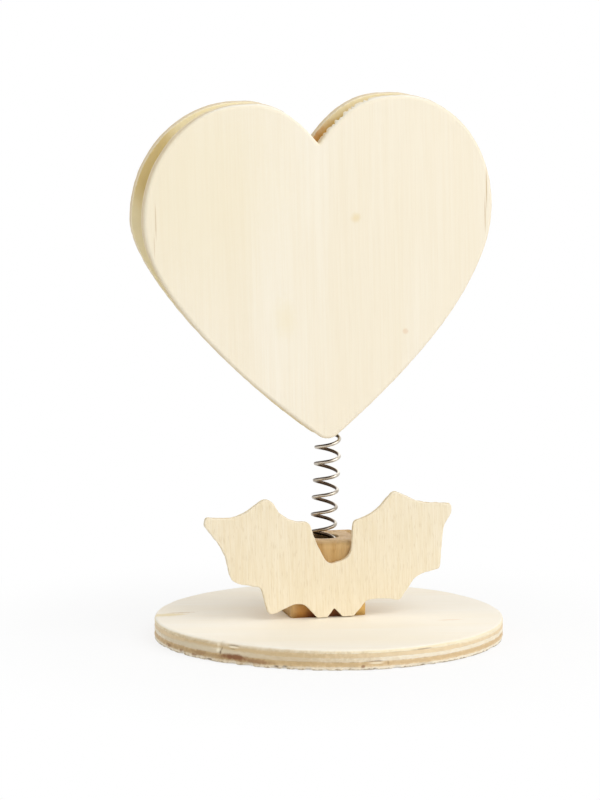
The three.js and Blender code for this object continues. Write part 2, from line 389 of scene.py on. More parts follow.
class SharedGroups:
    """Shader node groups that several finishes use, each built once.

    A contrast gives the two values of a noise between which its pattern fades in.
    """

    FLOAT = "NodeSocketFloat"
    VECTOR = "NodeSocketVector"
    MIDDLE = 0.5
    GRAIN_CONTRAST = (0.3, 0.7)
    PORE_CONTRAST = (0.58, 0.72)
    PORE_WIDTH = 0.7
    PORE_LENGTH = 0.3
    GLUE_LINE = 0.16
    GLUE_PATCHES = (0.35, 0.65)
    SAW_STREAK = (0.25, 1.6, 0.25)
    SPECKLE_CONTRAST = (0.35, 0.68)
    RIM_CONTRAST = (0.3, 0.62)
    CUT_REACH = (0.3, 0.8)

    def __init__(self) -> None:
        """Builds the groups."""
        self.grain = self._grain()
        self.ply_edge = self._ply_edge()
        self.blemish = self._blemish()
        self.sanded_edge = self._sanded_edge()

    def _new(
        self, name: str, inputs: dict[str, str], outputs: tuple[str, ...]
    ) -> tuple[Graph, bpy.types.NodeOutputs, bpy.types.NodeInputs]:
        """Starts a group.

        Args:
            name: Name of the group.
            inputs: Socket type of each input, by name.
            outputs: Names of its values.

        Returns:
            The group's graph, the sockets that bring its inputs, and the sockets that take its outputs.
        """
        tree = bpy.data.node_groups.new(name, "ShaderNodeTree")
        for key, kind in inputs.items():
            tree.interface.new_socket(key, in_out="INPUT", socket_type=kind)
        for key in outputs:
            tree.interface.new_socket(key, in_out="OUTPUT", socket_type=self.FLOAT)
        graph = Graph(tree)
        return graph, graph.add("NodeGroupInput").outputs, graph.add("NodeGroupOutput").inputs

    def _grain(self) -> bpy.types.NodeTree:
        """Wood grain along Z: fibres, broad figure and short open pores, each a noise stretched along Z.

        Returns:
            The group.
        """
        sizes = ("Fibre Width", "Fibre Length", "Figure Width", "Figure Length", "Seed")
        inputs = {"Coordinates": self.VECTOR, **dict.fromkeys(sizes, self.FLOAT)}
        graph, given, result = self._new("Wood grain", inputs, ("Fibre", "Figure", "Pores"))
        axes = graph.add("ShaderNodeSeparateXYZ", {0: given["Coordinates"]}).outputs

        def stretched(width: Value, length: Value) -> Socket:
            """Divides the coordinates by sizes across and along the grain, and shifts them by the seed.

            Args:
                width: Size across the grain.
                length: Size along it.

            Returns:
                The stretched coordinates.
            """
            across = graph.math("DIVIDE", axes["X"], width)
            through = graph.math("DIVIDE", axes["Y"], width)
            along = graph.math("DIVIDE", axes["Z"], length)
            scaled = graph.add("ShaderNodeCombineXYZ", {0: across, 1: through, 2: along}).outputs[0]
            return graph.vector("ADD", scaled, given["Seed"])

        fibre_at = stretched(given["Fibre Width"], given["Fibre Length"])
        figure_at = stretched(given["Figure Width"], given["Figure Length"])
        pore_width = graph.math("MULTIPLY", given["Fibre Width"], self.PORE_WIDTH)
        pore_length = graph.math("MULTIPLY", given["Fibre Length"], self.PORE_LENGTH)
        pores_at = stretched(pore_width, pore_length)
        for name, at, detail, roughness, contrast in (
            ("Fibre", fibre_at, 4.0, 0.6, self.GRAIN_CONTRAST),
            ("Figure", figure_at, 2.0, 0.5, self.GRAIN_CONTRAST),
            ("Pores", pores_at, 1.0, 0.5, self.PORE_CONTRAST),
        ):
            graph.put(result[name], graph.remap(graph.noise(at, 1.0, detail, roughness), *contrast))
        return graph.tree

    def _ply_edge(self) -> bpy.types.NodeTree:
        """Plies in a board's edge, from its front face on: every second one runs across, and glue shows.

        Returns:
            The group.
        """
        inputs = {"Coordinates": self.VECTOR, "Ply": self.FLOAT, "Wobble": self.FLOAT}
        graph, given, result = self._new("Ply edge", inputs, ("Across", "Glue", "Speckle"))
        at = given["Coordinates"]
        wave = graph.math("SUBTRACT", graph.noise(at, 0.12, 3.0, 0.6), self.MIDDLE)
        ply = graph.math("MULTIPLY_ADD", wave, given["Wobble"], given["Ply"])
        within = graph.math("FRACT", ply)
        rim = graph.math("MINIMUM", within, graph.math("SUBTRACT", 1.0, within))
        parity = graph.math("PINGPONG", graph.math("FLOOR", ply), 1.0)
        glue = graph.math("SUBTRACT", 1.0, graph.remap(rim, 0.0, self.GLUE_LINE))
        patchy = graph.remap(graph.noise(at, 0.5, 3.0, 0.6), *self.GLUE_PATCHES)
        graph.put(result["Across"], parity)
        graph.put(result["Glue"], graph.math("MULTIPLY", glue, patchy))
        streaks = graph.noise(graph.vector("MULTIPLY", at, self.SAW_STREAK), 2.2, 3.0, 0.65)
        graph.put(result["Speckle"], graph.remap(streaks, *self.SPECKLE_CONTRAST))
        return graph.tree

    def _blemish(self) -> bpy.types.NodeTree:
        """One spot, streak or stain, or a patch of painted light or shade: an ellipsoid with a ragged, soft
        rim.

        Returns:
            The group.
        """
        inputs = {
            "Coordinates": self.VECTOR,
            "Centre": self.VECTOR,
            "Size": self.VECTOR,
            "Ragged": self.FLOAT,
            "Softness": self.FLOAT,
        }
        graph, given, result = self._new("Blemish", inputs, ("Mask",))
        offset = graph.vector("SUBTRACT", given["Coordinates"], given["Centre"])
        scaled = graph.vector("DIVIDE", offset, given["Size"])
        reach = graph.length(scaled)
        ragged = graph.math("SUBTRACT", graph.noise(given["Coordinates"], 0.9, 3.0, 0.6), self.MIDDLE)
        reach = graph.math("MULTIPLY_ADD", ragged, given["Ragged"], reach)
        start = graph.math("SUBTRACT", 1.0, given["Softness"])
        graph.put(result["Mask"], graph.math("SUBTRACT", 1.0, graph.remap(reach, start, 1.0)))
        return graph.tree

    def _sanded_edge(self) -> bpy.types.NodeTree:
        """Parts of a rounded edge: the sanded rim between face and edge, and the sawn edge itself. The rim
        colour is partly sanded wood and partly painted light on the round: a painted highlight where a
        finish's rim is paler than its face, painted shade where it is darker.

        The rim is four times the share of the round times what is left of it, which is 1 halfway.

        Returns:
            The group.
        """
        inputs = {"Coordinates": self.VECTOR, "Edge": self.FLOAT}
        graph, given, result = self._new("Sanded edge", inputs, ("Rim", "Cut"))
        rest = graph.math("SUBTRACT", 1.0, given["Edge"])
        crest = graph.math("MULTIPLY", graph.math("MULTIPLY", given["Edge"], rest), 4.0)
        broken = graph.remap(graph.noise(given["Coordinates"], 0.6, 3.0, 0.6), *self.RIM_CONTRAST)
        graph.put(result["Rim"], graph.math("MULTIPLY", crest, broken))
        graph.put(result["Cut"], graph.remap(given["Edge"], *self.CUT_REACH))
        return graph.tree


@dataclass(frozen=True)
class Blemish:
    """A knot, crack or stain, or a patch of painted light or shade: its place in the piece's own drawing,
    half sizes, colour and strength.
    """

    centre: Triple
    size: Triple
    colour: Colour
    strength: float
    ragged: float = 0.6
    softness: float = 0.7


@dataclass(frozen=True)
class Finish:
    """What every finish shares: its name and slot, its roughness, and its relief in millimetres."""

    name: str
    slot: Slot
    roughness: float = 0.62
    relief: float = 0.03

    def start(self, place: Place) -> tuple[bpy.types.Material, Graph, bpy.types.Node, Socket]:
        """Starts the material.

        Args:
            place: Where the piece's own drawing lies.

        Returns:
            The material, its graph, its Principled BSDF, and the piece's own coordinates in millimetres.
        """
        material = bpy.data.materials.new(self.name)
        material.use_nodes = True
        graph = Graph(material.node_tree)
        shader = material.node_tree.nodes["Principled BSDF"]
        at = graph.add("ShaderNodeTexCoord").outputs["Object"]
        mapping = graph.add("ShaderNodeMapping", {"Vector": at}, vector_type="TEXTURE")
        mapping.inputs["Location"].default_value = Vector(place.origin) * MM
        mapping.inputs["Rotation"].default_value = Matrix(place.turn()).to_euler()
        mapping.inputs["Scale"].default_value = (MM, MM, MM)
        return material, graph, shader, mapping.outputs["Vector"]


@dataclass(frozen=True)
class WoodFinish(Finish):
    """What both woods share: the size of their grain, how strongly it shows, and their marks."""

    fibre_width: float = 0.4
    fibre_length: float = 20.0
    figure_width: float = 11.0
    figure_length: float = 120.0
    fibre_strength: float = 0.18
    pore_strength: float = 0.02
    rim_strength: float = 0.25
    rough_spread: tuple[float, float] = (-0.06, 0.08)
    gloss: float = 0.28
    seed: float = 0.0
    surface_patches: tuple[Blemish, ...] = ()

    def _grain(self, graph: Graph, groups: SharedGroups, at: Socket) -> bpy.types.NodeOutputs:
        """Places the grain.

        Args:
            graph: The material's graph.
            groups: The shared node groups.
            at: Coordinates with the grain along Z.

        Returns:
            Its fibres, figure and pores.
        """
        sizes = {
            "Coordinates": at,
            "Fibre Width": self.fibre_width,
            "Fibre Length": self.fibre_length,
            "Figure Width": self.figure_width,
            "Figure Length": self.figure_length,
            "Seed": self.seed,
        }
        return graph.group(groups.grain, sizes)

    def _rounded(self, graph: Graph, groups: SharedGroups, at: Socket) -> bpy.types.NodeOutputs:
        """Places the sanded edge at the given coordinates and returns its rim and cut."""
        parts = {"Coordinates": at, "Edge": graph.attribute(EDGE)}
        return graph.group(groups.sanded_edge, parts)

    def _rough(self, graph: Graph, fibre: Socket) -> Socket:
        """Spreads the roughness from between the fibres to their crests."""
        low, high = self.rough_spread
        return graph.remap(fibre, 0.0, 1.0, self.roughness + low, self.roughness + high)

    def _spotted(
        self, graph: Graph, groups: SharedGroups, at: Socket, colour: Value, spots: tuple[Blemish, ...]
    ) -> Value:
        """Lays knots, cracks, stains and patches of painted light or shade over a colour.

        Args:
            graph: The material's graph.
            groups: The shared node groups.
            at: The piece's own coordinates.
            colour: The colour under them.
            spots: The knots, cracks, stains or patches of painted light or shade.

        Returns:
            The colour with all of them on it.
        """
        for spot in spots:
            shape = {
                "Coordinates": at,
                "Centre": spot.centre,
                "Size": spot.size,
                "Ragged": spot.ragged,
                "Softness": spot.softness,
            }
            mask = graph.group(groups.blemish, shape)["Mask"]
            colour = graph.tint(colour, mask, spot.strength, spot.colour)
        return colour


@dataclass(frozen=True)
class PlyFinish(WoodFinish):
    """Bare plywood: the colours of its face and edge, and how its plies and saw marks show."""

    face: Colour = tone(250, 242, 224)
    warm: Colour = tone(248, 238, 216)
    fibre: Colour = tone(234, 218, 184)
    # Paler rim along the crest of the round: partly sanded wood, partly a painted highlight.
    rim: Colour = tone(252, 248, 236)
    long_ply: Colour = tone(240, 227, 198)
    cross_ply: Colour = tone(228, 208, 168)
    glue: Colour = tone(170, 132, 88)
    wobble: float = 0.25
    speckle_strength: float = 0.25
    glue_strength: float = 0.25
    pore_sink: float = -2.0
    saw_relief: float = 0.8
    grain_turn_deg: Triple = (0.0, 0.0, 0.0)
    edge_patches: tuple[Blemish, ...] = ()

    def make(self, groups: SharedGroups, place: Place) -> bpy.types.Material:
        """Builds the material.

        Args:
            groups: The shared node groups.
            place: Where the piece's own drawing lies.

        Returns:
            The material.
        """
        material, graph, shader, at = self.start(place)
        turned = graph.add("ShaderNodeMapping", {"Vector": at}, vector_type="POINT")
        turned.inputs["Rotation"].default_value = [math.radians(angle) for angle in self.grain_turn_deg]
        grain = self._grain(graph, groups, turned.outputs["Vector"])
        plies = {"Coordinates": at, "Ply": graph.attribute(PLY), "Wobble": self.wobble}
        edge_parts = graph.group(groups.ply_edge, plies)
        rounded = self._rounded(graph, groups, at)
        face = self._face_colour(graph, grain)
        face = self._spotted(graph, groups, at, face, self.surface_patches)
        edge = self._edge_colour(graph, edge_parts)
        edge = self._spotted(graph, groups, at, edge, self.edge_patches)
        colour = graph.mix(rounded["Cut"], face, edge)
        colour = graph.tint(colour, rounded["Rim"], self.rim_strength, self.rim)
        shader.inputs["Specular IOR Level"].default_value = self.gloss
        sunk = graph.math("MULTIPLY", grain["Pores"], self.pore_sink * self.pore_strength)
        height = graph.math("MULTIPLY_ADD", grain["Fibre"], self.fibre_strength, sunk)
        sawn = graph.math("MULTIPLY", edge_parts["Speckle"], rounded["Cut"])
        height = graph.math("MULTIPLY_ADD", sawn, self.saw_relief, height)
        graph.dress(shader, colour, self._rough(graph, grain["Fibre"]), height, self.relief)
        return material

    def _face_colour(self, graph: Graph, grain: bpy.types.NodeOutputs) -> Socket:
        """Mixes the face: figure first, then fibres and pores.

        Args:
            graph: The material's graph.
            grain: The outputs of its grain.

        Returns:
            The face's colour.
        """
        colour = graph.mix(grain["Figure"], self.face, self.warm)
        colour = graph.tint(colour, grain["Fibre"], self.fibre_strength, self.fibre)
        return graph.tint(colour, grain["Pores"], self.pore_strength, self.glue)

    def _edge_colour(self, graph: Graph, parts: bpy.types.NodeOutputs) -> Socket:
        """Mixes the sawn edge from its long and cross plies, speckle and glue lines.

        Args:
            graph: The material's graph.
            parts: The outputs of its ply edge.

        Returns:
            The edge's colour.
        """
        colour = graph.mix(parts["Across"], self.long_ply, self.cross_ply)
        colour = graph.tint(colour, parts["Speckle"], self.speckle_strength, self.cross_ply)
        return graph.tint(colour, parts["Glue"], self.glue_strength, self.glue)


@dataclass(frozen=True)
class HardwoodFinish(WoodFinish):
    """Golden-brown hardwood: light and dark growth, and its grain's size. In the spring's hole its colour is
    painted shade, with a patch of painted light.
    """

    light: Colour = tone(217, 182, 127)
    dark: Colour = tone(190, 149, 89)
    pore: Colour = tone(140, 98, 52)
    # Paler rim along the crest of the round: partly sanded wood, partly a painted highlight.
    rim: Colour = tone(232, 203, 158)
    # Painted shade: the dark colour inside the spring's hole.
    bore: Colour = tone(62, 42, 26)
    fibre_width: float = 0.45
    fibre_length: float = 9.0
    figure_width: float = 3.5
    figure_length: float = 40.0
    fibre_strength: float = 0.3
    pore_strength: float = 0.2
    rim_strength: float = 0.45
    rough_spread: tuple[float, float] = (-0.08, 0.08)
    gloss: float = 0.3
    relief: float = 0.05
    roughness: float = 0.55
    seed: float = 3.0
    pore_sink: float = -1.0
    # Painted light on the lit wall of the spring's hole.
    bore_painted_light: tuple[Blemish, ...] = ()

    def make(self, groups: SharedGroups, place: Place) -> bpy.types.Material:
        """Builds the material.

        Args:
            groups: The shared node groups.
            place: Where the piece's own drawing lies.

        Returns:
            The material.
        """
        material, graph, shader, at = self.start(place)
        grain = self._grain(graph, groups, at)
        rounded = self._rounded(graph, groups, at)
        colour = graph.mix(grain["Figure"], self.light, self.dark)
        colour = graph.tint(colour, grain["Fibre"], self.fibre_strength, self.dark)
        colour = graph.tint(colour, grain["Pores"], self.pore_strength, self.pore)
        colour = graph.tint(colour, rounded["Rim"], self.rim_strength, self.rim)
        colour = self._spotted(graph, groups, at, colour, self.surface_patches)
        # Inside the hole the wood gives way to the painted shade and its painted light.
        bore = self._spotted(graph, groups, at, self.bore, self.bore_painted_light)
        colour = graph.mix(graph.attribute(BORE), colour, bore)
        shader.inputs["Specular IOR Level"].default_value = self.gloss
        height = graph.math("MULTIPLY_ADD", grain["Pores"], self.pore_sink, grain["Fibre"])
        graph.dress(shader, colour, self._rough(graph, grain["Fibre"]), height, self.relief)
        return material


@dataclass(frozen=True)
class SteelFinish(Finish):
    """Drawn spring wire: bare steel with dull patches and fine marks.

    It is painted darker on the inside of the coil, as painted shade and dark reflection, and on the upper
    side of the wire towards the left, as a painted dark reflection.
    """

    bright: Colour = tone(212, 204, 191)
    dull: Colour = tone(160, 149, 133)
    # inside and upper are painted shade and painted dark reflection, not colours of the steel.
    inside: Colour = tone(82, 66, 52)
    upper: Colour = tone(84, 72, 60)
    upper_reach: tuple[float, float] = (3.5, -0.5)
    upper_contrast: tuple[float, float] = (0.0, 0.35)
    inside_contrast: tuple[float, float] = (0.1, 0.75)
    roughness: float = 0.24
    rough_spread: tuple[float, float] = (-0.07, 0.12)
    mark_size: float = 0.5
    mark_contrast: tuple[float, float] = (0.3, 0.7)
    patch_scale: float = 0.16
    patch_contrast: tuple[float, float] = (0.38, 0.64)
    relief: float = 0.01

    def make(self, place: Place) -> bpy.types.Material:
        """Builds the material.

        Args:
            place: Where the spring's own drawing lies.

        Returns:
            The material.
        """
        material, graph, shader, at = self.start(place)
        patch = graph.remap(graph.noise(at, self.patch_scale, 3.0, 0.6), *self.patch_contrast)
        marks = graph.noise(at, 1 / self.mark_size, 3.0, 0.65)
        colour = graph.mix(patch, self.bright, self.dull)
        # Painted dark reflection on the upper side of the wire, fading out towards the right.
        across = graph.add("ShaderNodeSeparateXYZ", {0: at}).outputs["X"]
        reach = graph.remap(across, *self.upper_reach)
        painted_reflection_mask = graph.math("MULTIPLY", graph.attribute(UPPER), reach)
        colour = graph.mix(graph.remap(painted_reflection_mask, *self.upper_contrast), colour, self.upper)
        # Painted shade and dark reflection on the inside of the coil.
        dark = graph.remap(graph.attribute(INSIDE), *self.inside_contrast)
        colour = graph.mix(dark, colour, self.inside)
        smoothest, roughest = (self.roughness + spread for spread in self.rough_spread)
        rough = graph.remap(marks, *self.mark_contrast, smoothest, roughest)
        shader.inputs["Metallic"].default_value = 1.0
        graph.dress(shader, colour, rough, marks, self.relief)
        return material


def settle(
    piece: bpy.types.Object, material: bpy.types.Material, body: Body, node: str
) -> None:
    """Dresses a rigid piece and puts it on its body in place of its solid.

    Args:
        piece: The piece.
        material: Its material.
        body: The body that it rides on.
        node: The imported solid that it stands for.
    """
    piece.data.materials.append(material)
    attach(piece, body.value)
    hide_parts(node)
    log.info("%s: %d faces, stands for %s on %s", piece.name, len(piece.data.polygons), node, body.value)


@dataclass(frozen=True)
class Chip:
    """A chip in a board's edge: its place along the outline and below the face, its size and sink."""

    along: float
    depth: float
    length: float
    height: float
    sink: float


@dataclass
class Board:
    """A plywood board sawn to an outline, drawn in XZ, with its front face at front_y facing -Y.

    Its plies are given by their thickness from the front face on, in shares of the board's. The saw's marks
    are a noise of the given widths in steps, lowered by their reach so that they only cut in.
    """

    outline: np.ndarray
    thickness: float
    front_y: float
    front_round: np.ndarray
    back_round: np.ndarray
    plies: tuple[float, ...]
    ply_sink: float = 0.03
    saw_depth: float = 0.025
    saw_marks: tuple[float, float] = (2.5, 1.2)
    saw_reach: float = 2.0
    arris_steps: int = 6
    edge_steps: int = 12
    chips: tuple[Chip, ...] = ()
    back_tear: np.ndarray | float = 0.0
    front_lean: np.ndarray | float = 0.0

    def surface(self, place: Place, rng: np.random.Generator) -> Surface:
        """Carries the edge's profile round the outline and closes its ends with the flat faces.

        The profile is a quarter round from the front face, a straight edge and a quarter round to the back
        face. Every second ply, the saw's marks and the chips draw the edge in along the outline's normals.
        Torn fibres draw it in towards the back face with the square of the depth, and a leaning edge is
        drawn in towards the front face in step with the height.

        Args:
            place: Where the board's drawing lies.
            rng: Source of the saw's marks.

        Returns:
            The board's surface, with how far each point is round the edge and through the plies.
        """
        turn = np.linspace(0, np.pi / 2, self.arris_steps + 1)[:, None]
        way = np.linspace(0, 1, self.edge_steps + 1)[1:-1, None]
        lowest = self.thickness - self.back_round
        inset = np.vstack(
            [
                self.front_round * (1 - np.sin(turn)),
                np.zeros((len(way), len(self.outline))),
                self.back_round * (1 - np.cos(turn)),
            ]
        )
        depth = np.vstack(
            [
                self.front_round * (1 - np.cos(turn)),
                self.front_round * (1 - way) + lowest * way,
                lowest + self.back_round * np.sin(turn),
            ]
        )
        share = turn / turn[-1]
        edge = np.vstack([share, np.ones_like(way), share[::-1]])
        rows, columns = depth.shape
        seams = np.concatenate([[0.0], np.cumsum(self.plies)]) / np.sum(self.plies)
        ply = np.interp(depth / self.thickness, seams, np.arange(len(seams)))
        crossing = np.floor(ply) % 2
        marks = smooth_noise((rows, columns), self.saw_marks, rng)
        sawn = np.minimum(marks - self.saw_reach, 0) * self.saw_depth
        torn = self.back_tear * (depth / self.thickness) ** 2
        lean = self.front_lean * (1 - depth / self.thickness)
        moved = edge * (sawn - self.ply_sink * crossing) - torn - lean - self._chipped(depth) - inset
        flat = self.outline + outward(self.outline) * moved[..., None]
        points = np.stack([flat[..., 0], self.front_y + depth, flat[..., 1]], axis=-1).reshape(-1, 3)
        ring = np.arange(columns)
        return Surface(
            points=place.to_frame(points),
            quads=ring_quads(rows, columns),
            caps=[ring, ring[::-1] + (rows - 1) * columns],
            attributes={EDGE: np.broadcast_to(edge, depth.shape).ravel(), PLY: ply.ravel()},
        )

    def _chipped(self, depth: np.ndarray) -> np.ndarray:
        """Sums the chips, each a bell-shaped sink in the length along the edge and the depth.

        Args:
            depth: Depth below the front face at each point of the edge.

        Returns:
            How far the chips draw each point in.
        """
        along = distances(self.outline)
        total = np.zeros_like(depth)
        for chip in self.chips:
            reach = ((along - chip.along) / chip.length) ** 2 + ((depth - chip.depth) / chip.height) ** 2
            total += chip.sink * np.exp(-reach)
        return total


@dataclass
class RoundBase:
    """The round plywood base, drawn as a standing disc and laid flat.

    A chip is given by its angle in the drawing, its depth below the top, its length, height and sink.
    """

    radius: float = 42.0
    thickness: float = 4.8
    edge_round: float = 0.55
    round_spread: float = 0.12
    spacing: float = 0.35
    plies: tuple[float, ...] = (0.9, 1.0, 0.95, 1.15, 0.8)
    ply_sink: float = 0.06
    saw_depth: float = 0.035
    edge_steps: int = 30
    wander: float = 0.05
    wander_width: float = 40.0
    round_width: float = 6.0
    frayed: float = 0.5
    frayed_width: float = 1.6
    frayed_least: float = 0.25
    frayed_most: float = 1.6
    worn_at_deg: float = 228.0
    worn_spread_deg: float = 32.0
    worn_flat: float = 0.9
    worn_lean: float = 1.5
    worn_round: float = 0.7
    chip_sizes: tuple[tuple[float, float, float, float, float], ...] = (
        (216.0, 1.0, 0.7, 1.3, 0.45),
        (220.5, 3.4, 1.4, 0.5, 0.3),
        (228.0, 4.3, 1.6, 0.5, 0.35),
        (241.0, 4.5, 2.2, 0.4, 0.3),
        (262.0, 4.4, 1.2, 0.5, 0.35),
        (286.0, 4.5, 2.6, 0.4, 0.3),
        (296.0, 0.5, 0.5, 0.5, 0.25),
        (40.0, 0.4, 0.9, 0.6, 0.3),
        (120.0, 4.3, 1.5, 0.6, 0.35),
    )

    def place(self) -> Place:
        """Lays the disc flat, its drawn front face up."""
        return Place((0.0, 0.0, self.thickness), lean_deg=-90.0)

    def worn(self, angle_deg: np.ndarray | float) -> np.ndarray | float:
        """Gives how worn the rim is at an angle of the drawing: a bell about its most worn place."""
        return np.exp(-(((angle_deg - self.worn_at_deg) / self.worn_spread_deg) ** 2))

    def edge_radius(self, angle_deg: float, depth: float) -> float:
        """Gives the edge's distance from the centre, less where it is worn, and least at the top."""
        lean = self.worn_lean * (1 - depth / self.thickness)
        return self.radius - self.worn(angle_deg) * (self.worn_flat + lean)

    def build(self, finish: PlyFinish, groups: SharedGroups, rng: np.random.Generator) -> None:
        """Builds the base.

        Args:
            finish: Its plywood.
            groups: The shared node groups.
            rng: Source of its small unevenness.
        """
        count = round(2 * math.pi * self.radius / self.spacing)
        angle = 2 * np.pi * np.arange(count) / count
        worn = self.worn(np.degrees(angle))
        wander = np.tanh(smooth_noise((count,), (self.wander_width,), rng))
        radius = self.radius - self.wander * (1 + wander)
        radius -= self.worn_flat * worn
        uneven = np.tanh(smooth_noise((count,), (self.round_width,), rng))
        sanded = self.edge_round + self.round_spread * uneven
        sanded += self.worn_round * worn
        fibres = np.clip(smooth_noise((count,), (self.frayed_width,), rng), 0, self.frayed_most)
        chips = tuple(Chip(math.radians(at) * self.radius, *sizes) for at, *sizes in self.chip_sizes)
        board = Board(
            outline=np.column_stack([radius * np.cos(angle), radius * np.sin(angle)]),
            thickness=self.thickness,
            front_y=0.0,
            front_round=sanded,
            back_round=self.frayed_least + self.frayed * fibres,
            plies=self.plies,
            ply_sink=self.ply_sink,
            saw_depth=self.saw_depth,
            edge_steps=self.edge_steps,
            chips=chips,
            front_lean=self.worn_lean * worn,
        )
        piece = board.surface(self.place(), rng).to_object("round_base")
        settle(piece, finish.make(groups, self.place()), Body.STAND, "base_disc")


@dataclass
class StemBlock:
    """The hardwood block that holds the spring's foot in a blind hole."""

    width: float = 18.5
    depth: float = 15.5
    height: float = 18.2
    bottom: float = 4.8
    shift: float = -0.3
    forward: float = 1.5
    corner_round: float = 0.9
    edge_round: float = 0.6
    hole_at: tuple[float, float] = (0.5, 7.0)
    hole_diameter: float = 7.2
    hole_depth: float = 6.0
    hole_round: float = 0.25
    bore_margin: float = 0.5
    spacing: float = 0.3
    corner_steps: int = 8
    arris_steps: int = 5
    wall_steps: int = 12
    top_steps: int = 4
    shaft_steps: int = 4

    def outline(self) -> np.ndarray:
        """Draws the rounded rectangle: a quarter circle at each corner, turned on by a right angle each time.

        Returns:
            The outline, counter-clockwise from above, its front a little before the X axis.
        """
        turn = np.linspace(0, np.pi / 2, self.corner_steps, endpoint=False)
        arc = self.corner_round * np.column_stack([np.cos(turn), np.sin(turn)])
        x = self.width / 2 - self.corner_round
        y = self.depth / 2 - self.corner_round
        quarter = np.array([[0, -1], [1, 0]])
        corners = [(x, y), (-x, y), (-x, -y), (x, -y)]
        arcs = [arc @ np.linalg.matrix_power(quarter, k).T + corner for k, corner in enumerate(corners)]
        return even_ring(np.vstack(arcs), self.spacing) + [self.shift, self.depth / 2 - self.forward]

    def surface(self) -> Surface:
        """Carries a profile round the block: up its sides, over its top and down into the hole.

        On the top, each ring lies part of the way from the outline to the hole's circle. Both have the same
        bearings from the hole's centre, so the rings don't twist.

        Returns:
            The block's surface, with how far each point is round an edge and into the hole.
        """
        outline = self.outline()
        normal = outward(outline)
        centre = np.array(self.hole_at)
        bearing = unit(outline - centre)
        top = self.bottom + self.height
        turn = np.linspace(0, np.pi / 2, self.arris_steps + 1)
        wall = np.linspace(self.bottom + self.edge_round, top - self.edge_round, self.wall_steps + 1)[1:-1]
        rounded = self.edge_round * (1 - np.cos(turn))
        inset = np.concatenate([rounded[::-1], np.zeros(len(wall)), rounded])
        rise = self.edge_round * (1 - np.sin(turn))
        level = np.concatenate([self.bottom + rise, wall, top - rise[::-1]])
        sides = outline - normal * inset[:, None, None]
        way = np.linspace(0, 1, self.top_steps + 1)[1:-1, None, None]
        mouth = centre + bearing * (self.hole_diameter / 2 + self.hole_round)
        across = sides[-1] * (1 - way) + mouth * way
        lip = self.hole_diameter / 2 + self.hole_round * (1 - np.sin(turn))
        shaft = np.full(self.shaft_steps, self.hole_diameter / 2)
        hole = centre + bearing * np.concatenate([lip, shaft])[:, None, None]
        lip_level = top - self.hole_round * (1 - np.cos(turn))
        shaft_level = np.linspace(top - self.hole_round, top - self.hole_depth, self.shaft_steps + 1)[1:]
        levels = np.concatenate([level, np.full(len(way), top), lip_level, shaft_level])
        flat = np.concatenate([sides, across, hole])
        rows, columns = flat.shape[:2]
        height = np.broadcast_to(levels[:, None, None], (rows, columns, 1))
        bend = np.sin(np.pi * (turn / turn[-1]))
        edge = np.concatenate(
            [bend, np.zeros(len(wall)), bend, np.zeros(len(way)), bend, np.zeros(len(shaft))]
        )
        sunk = np.clip((top - levels) / self.hole_round - self.bore_margin, 0, 1)
        bored = sunk * (np.arange(rows) >= rows - len(hole))
        ring = np.arange(columns)
        return Surface(
            points=np.concatenate([flat, height], axis=-1).reshape(-1, 3),
            quads=ring_quads(rows, columns)[:, ::-1],
            caps=[ring[::-1], ring + (rows - 1) * columns],
            attributes={EDGE: np.repeat(edge / 2, columns), BORE: np.repeat(bored, columns)},
        )

    def build(self, finish: HardwoodFinish, groups: SharedGroups) -> None:
        """Builds the block of its hardwood, with the shared node groups."""
        piece = self.surface().to_object("spring_block")
        settle(piece, finish.make(groups, Place()), Body.STAND, "stem_block")


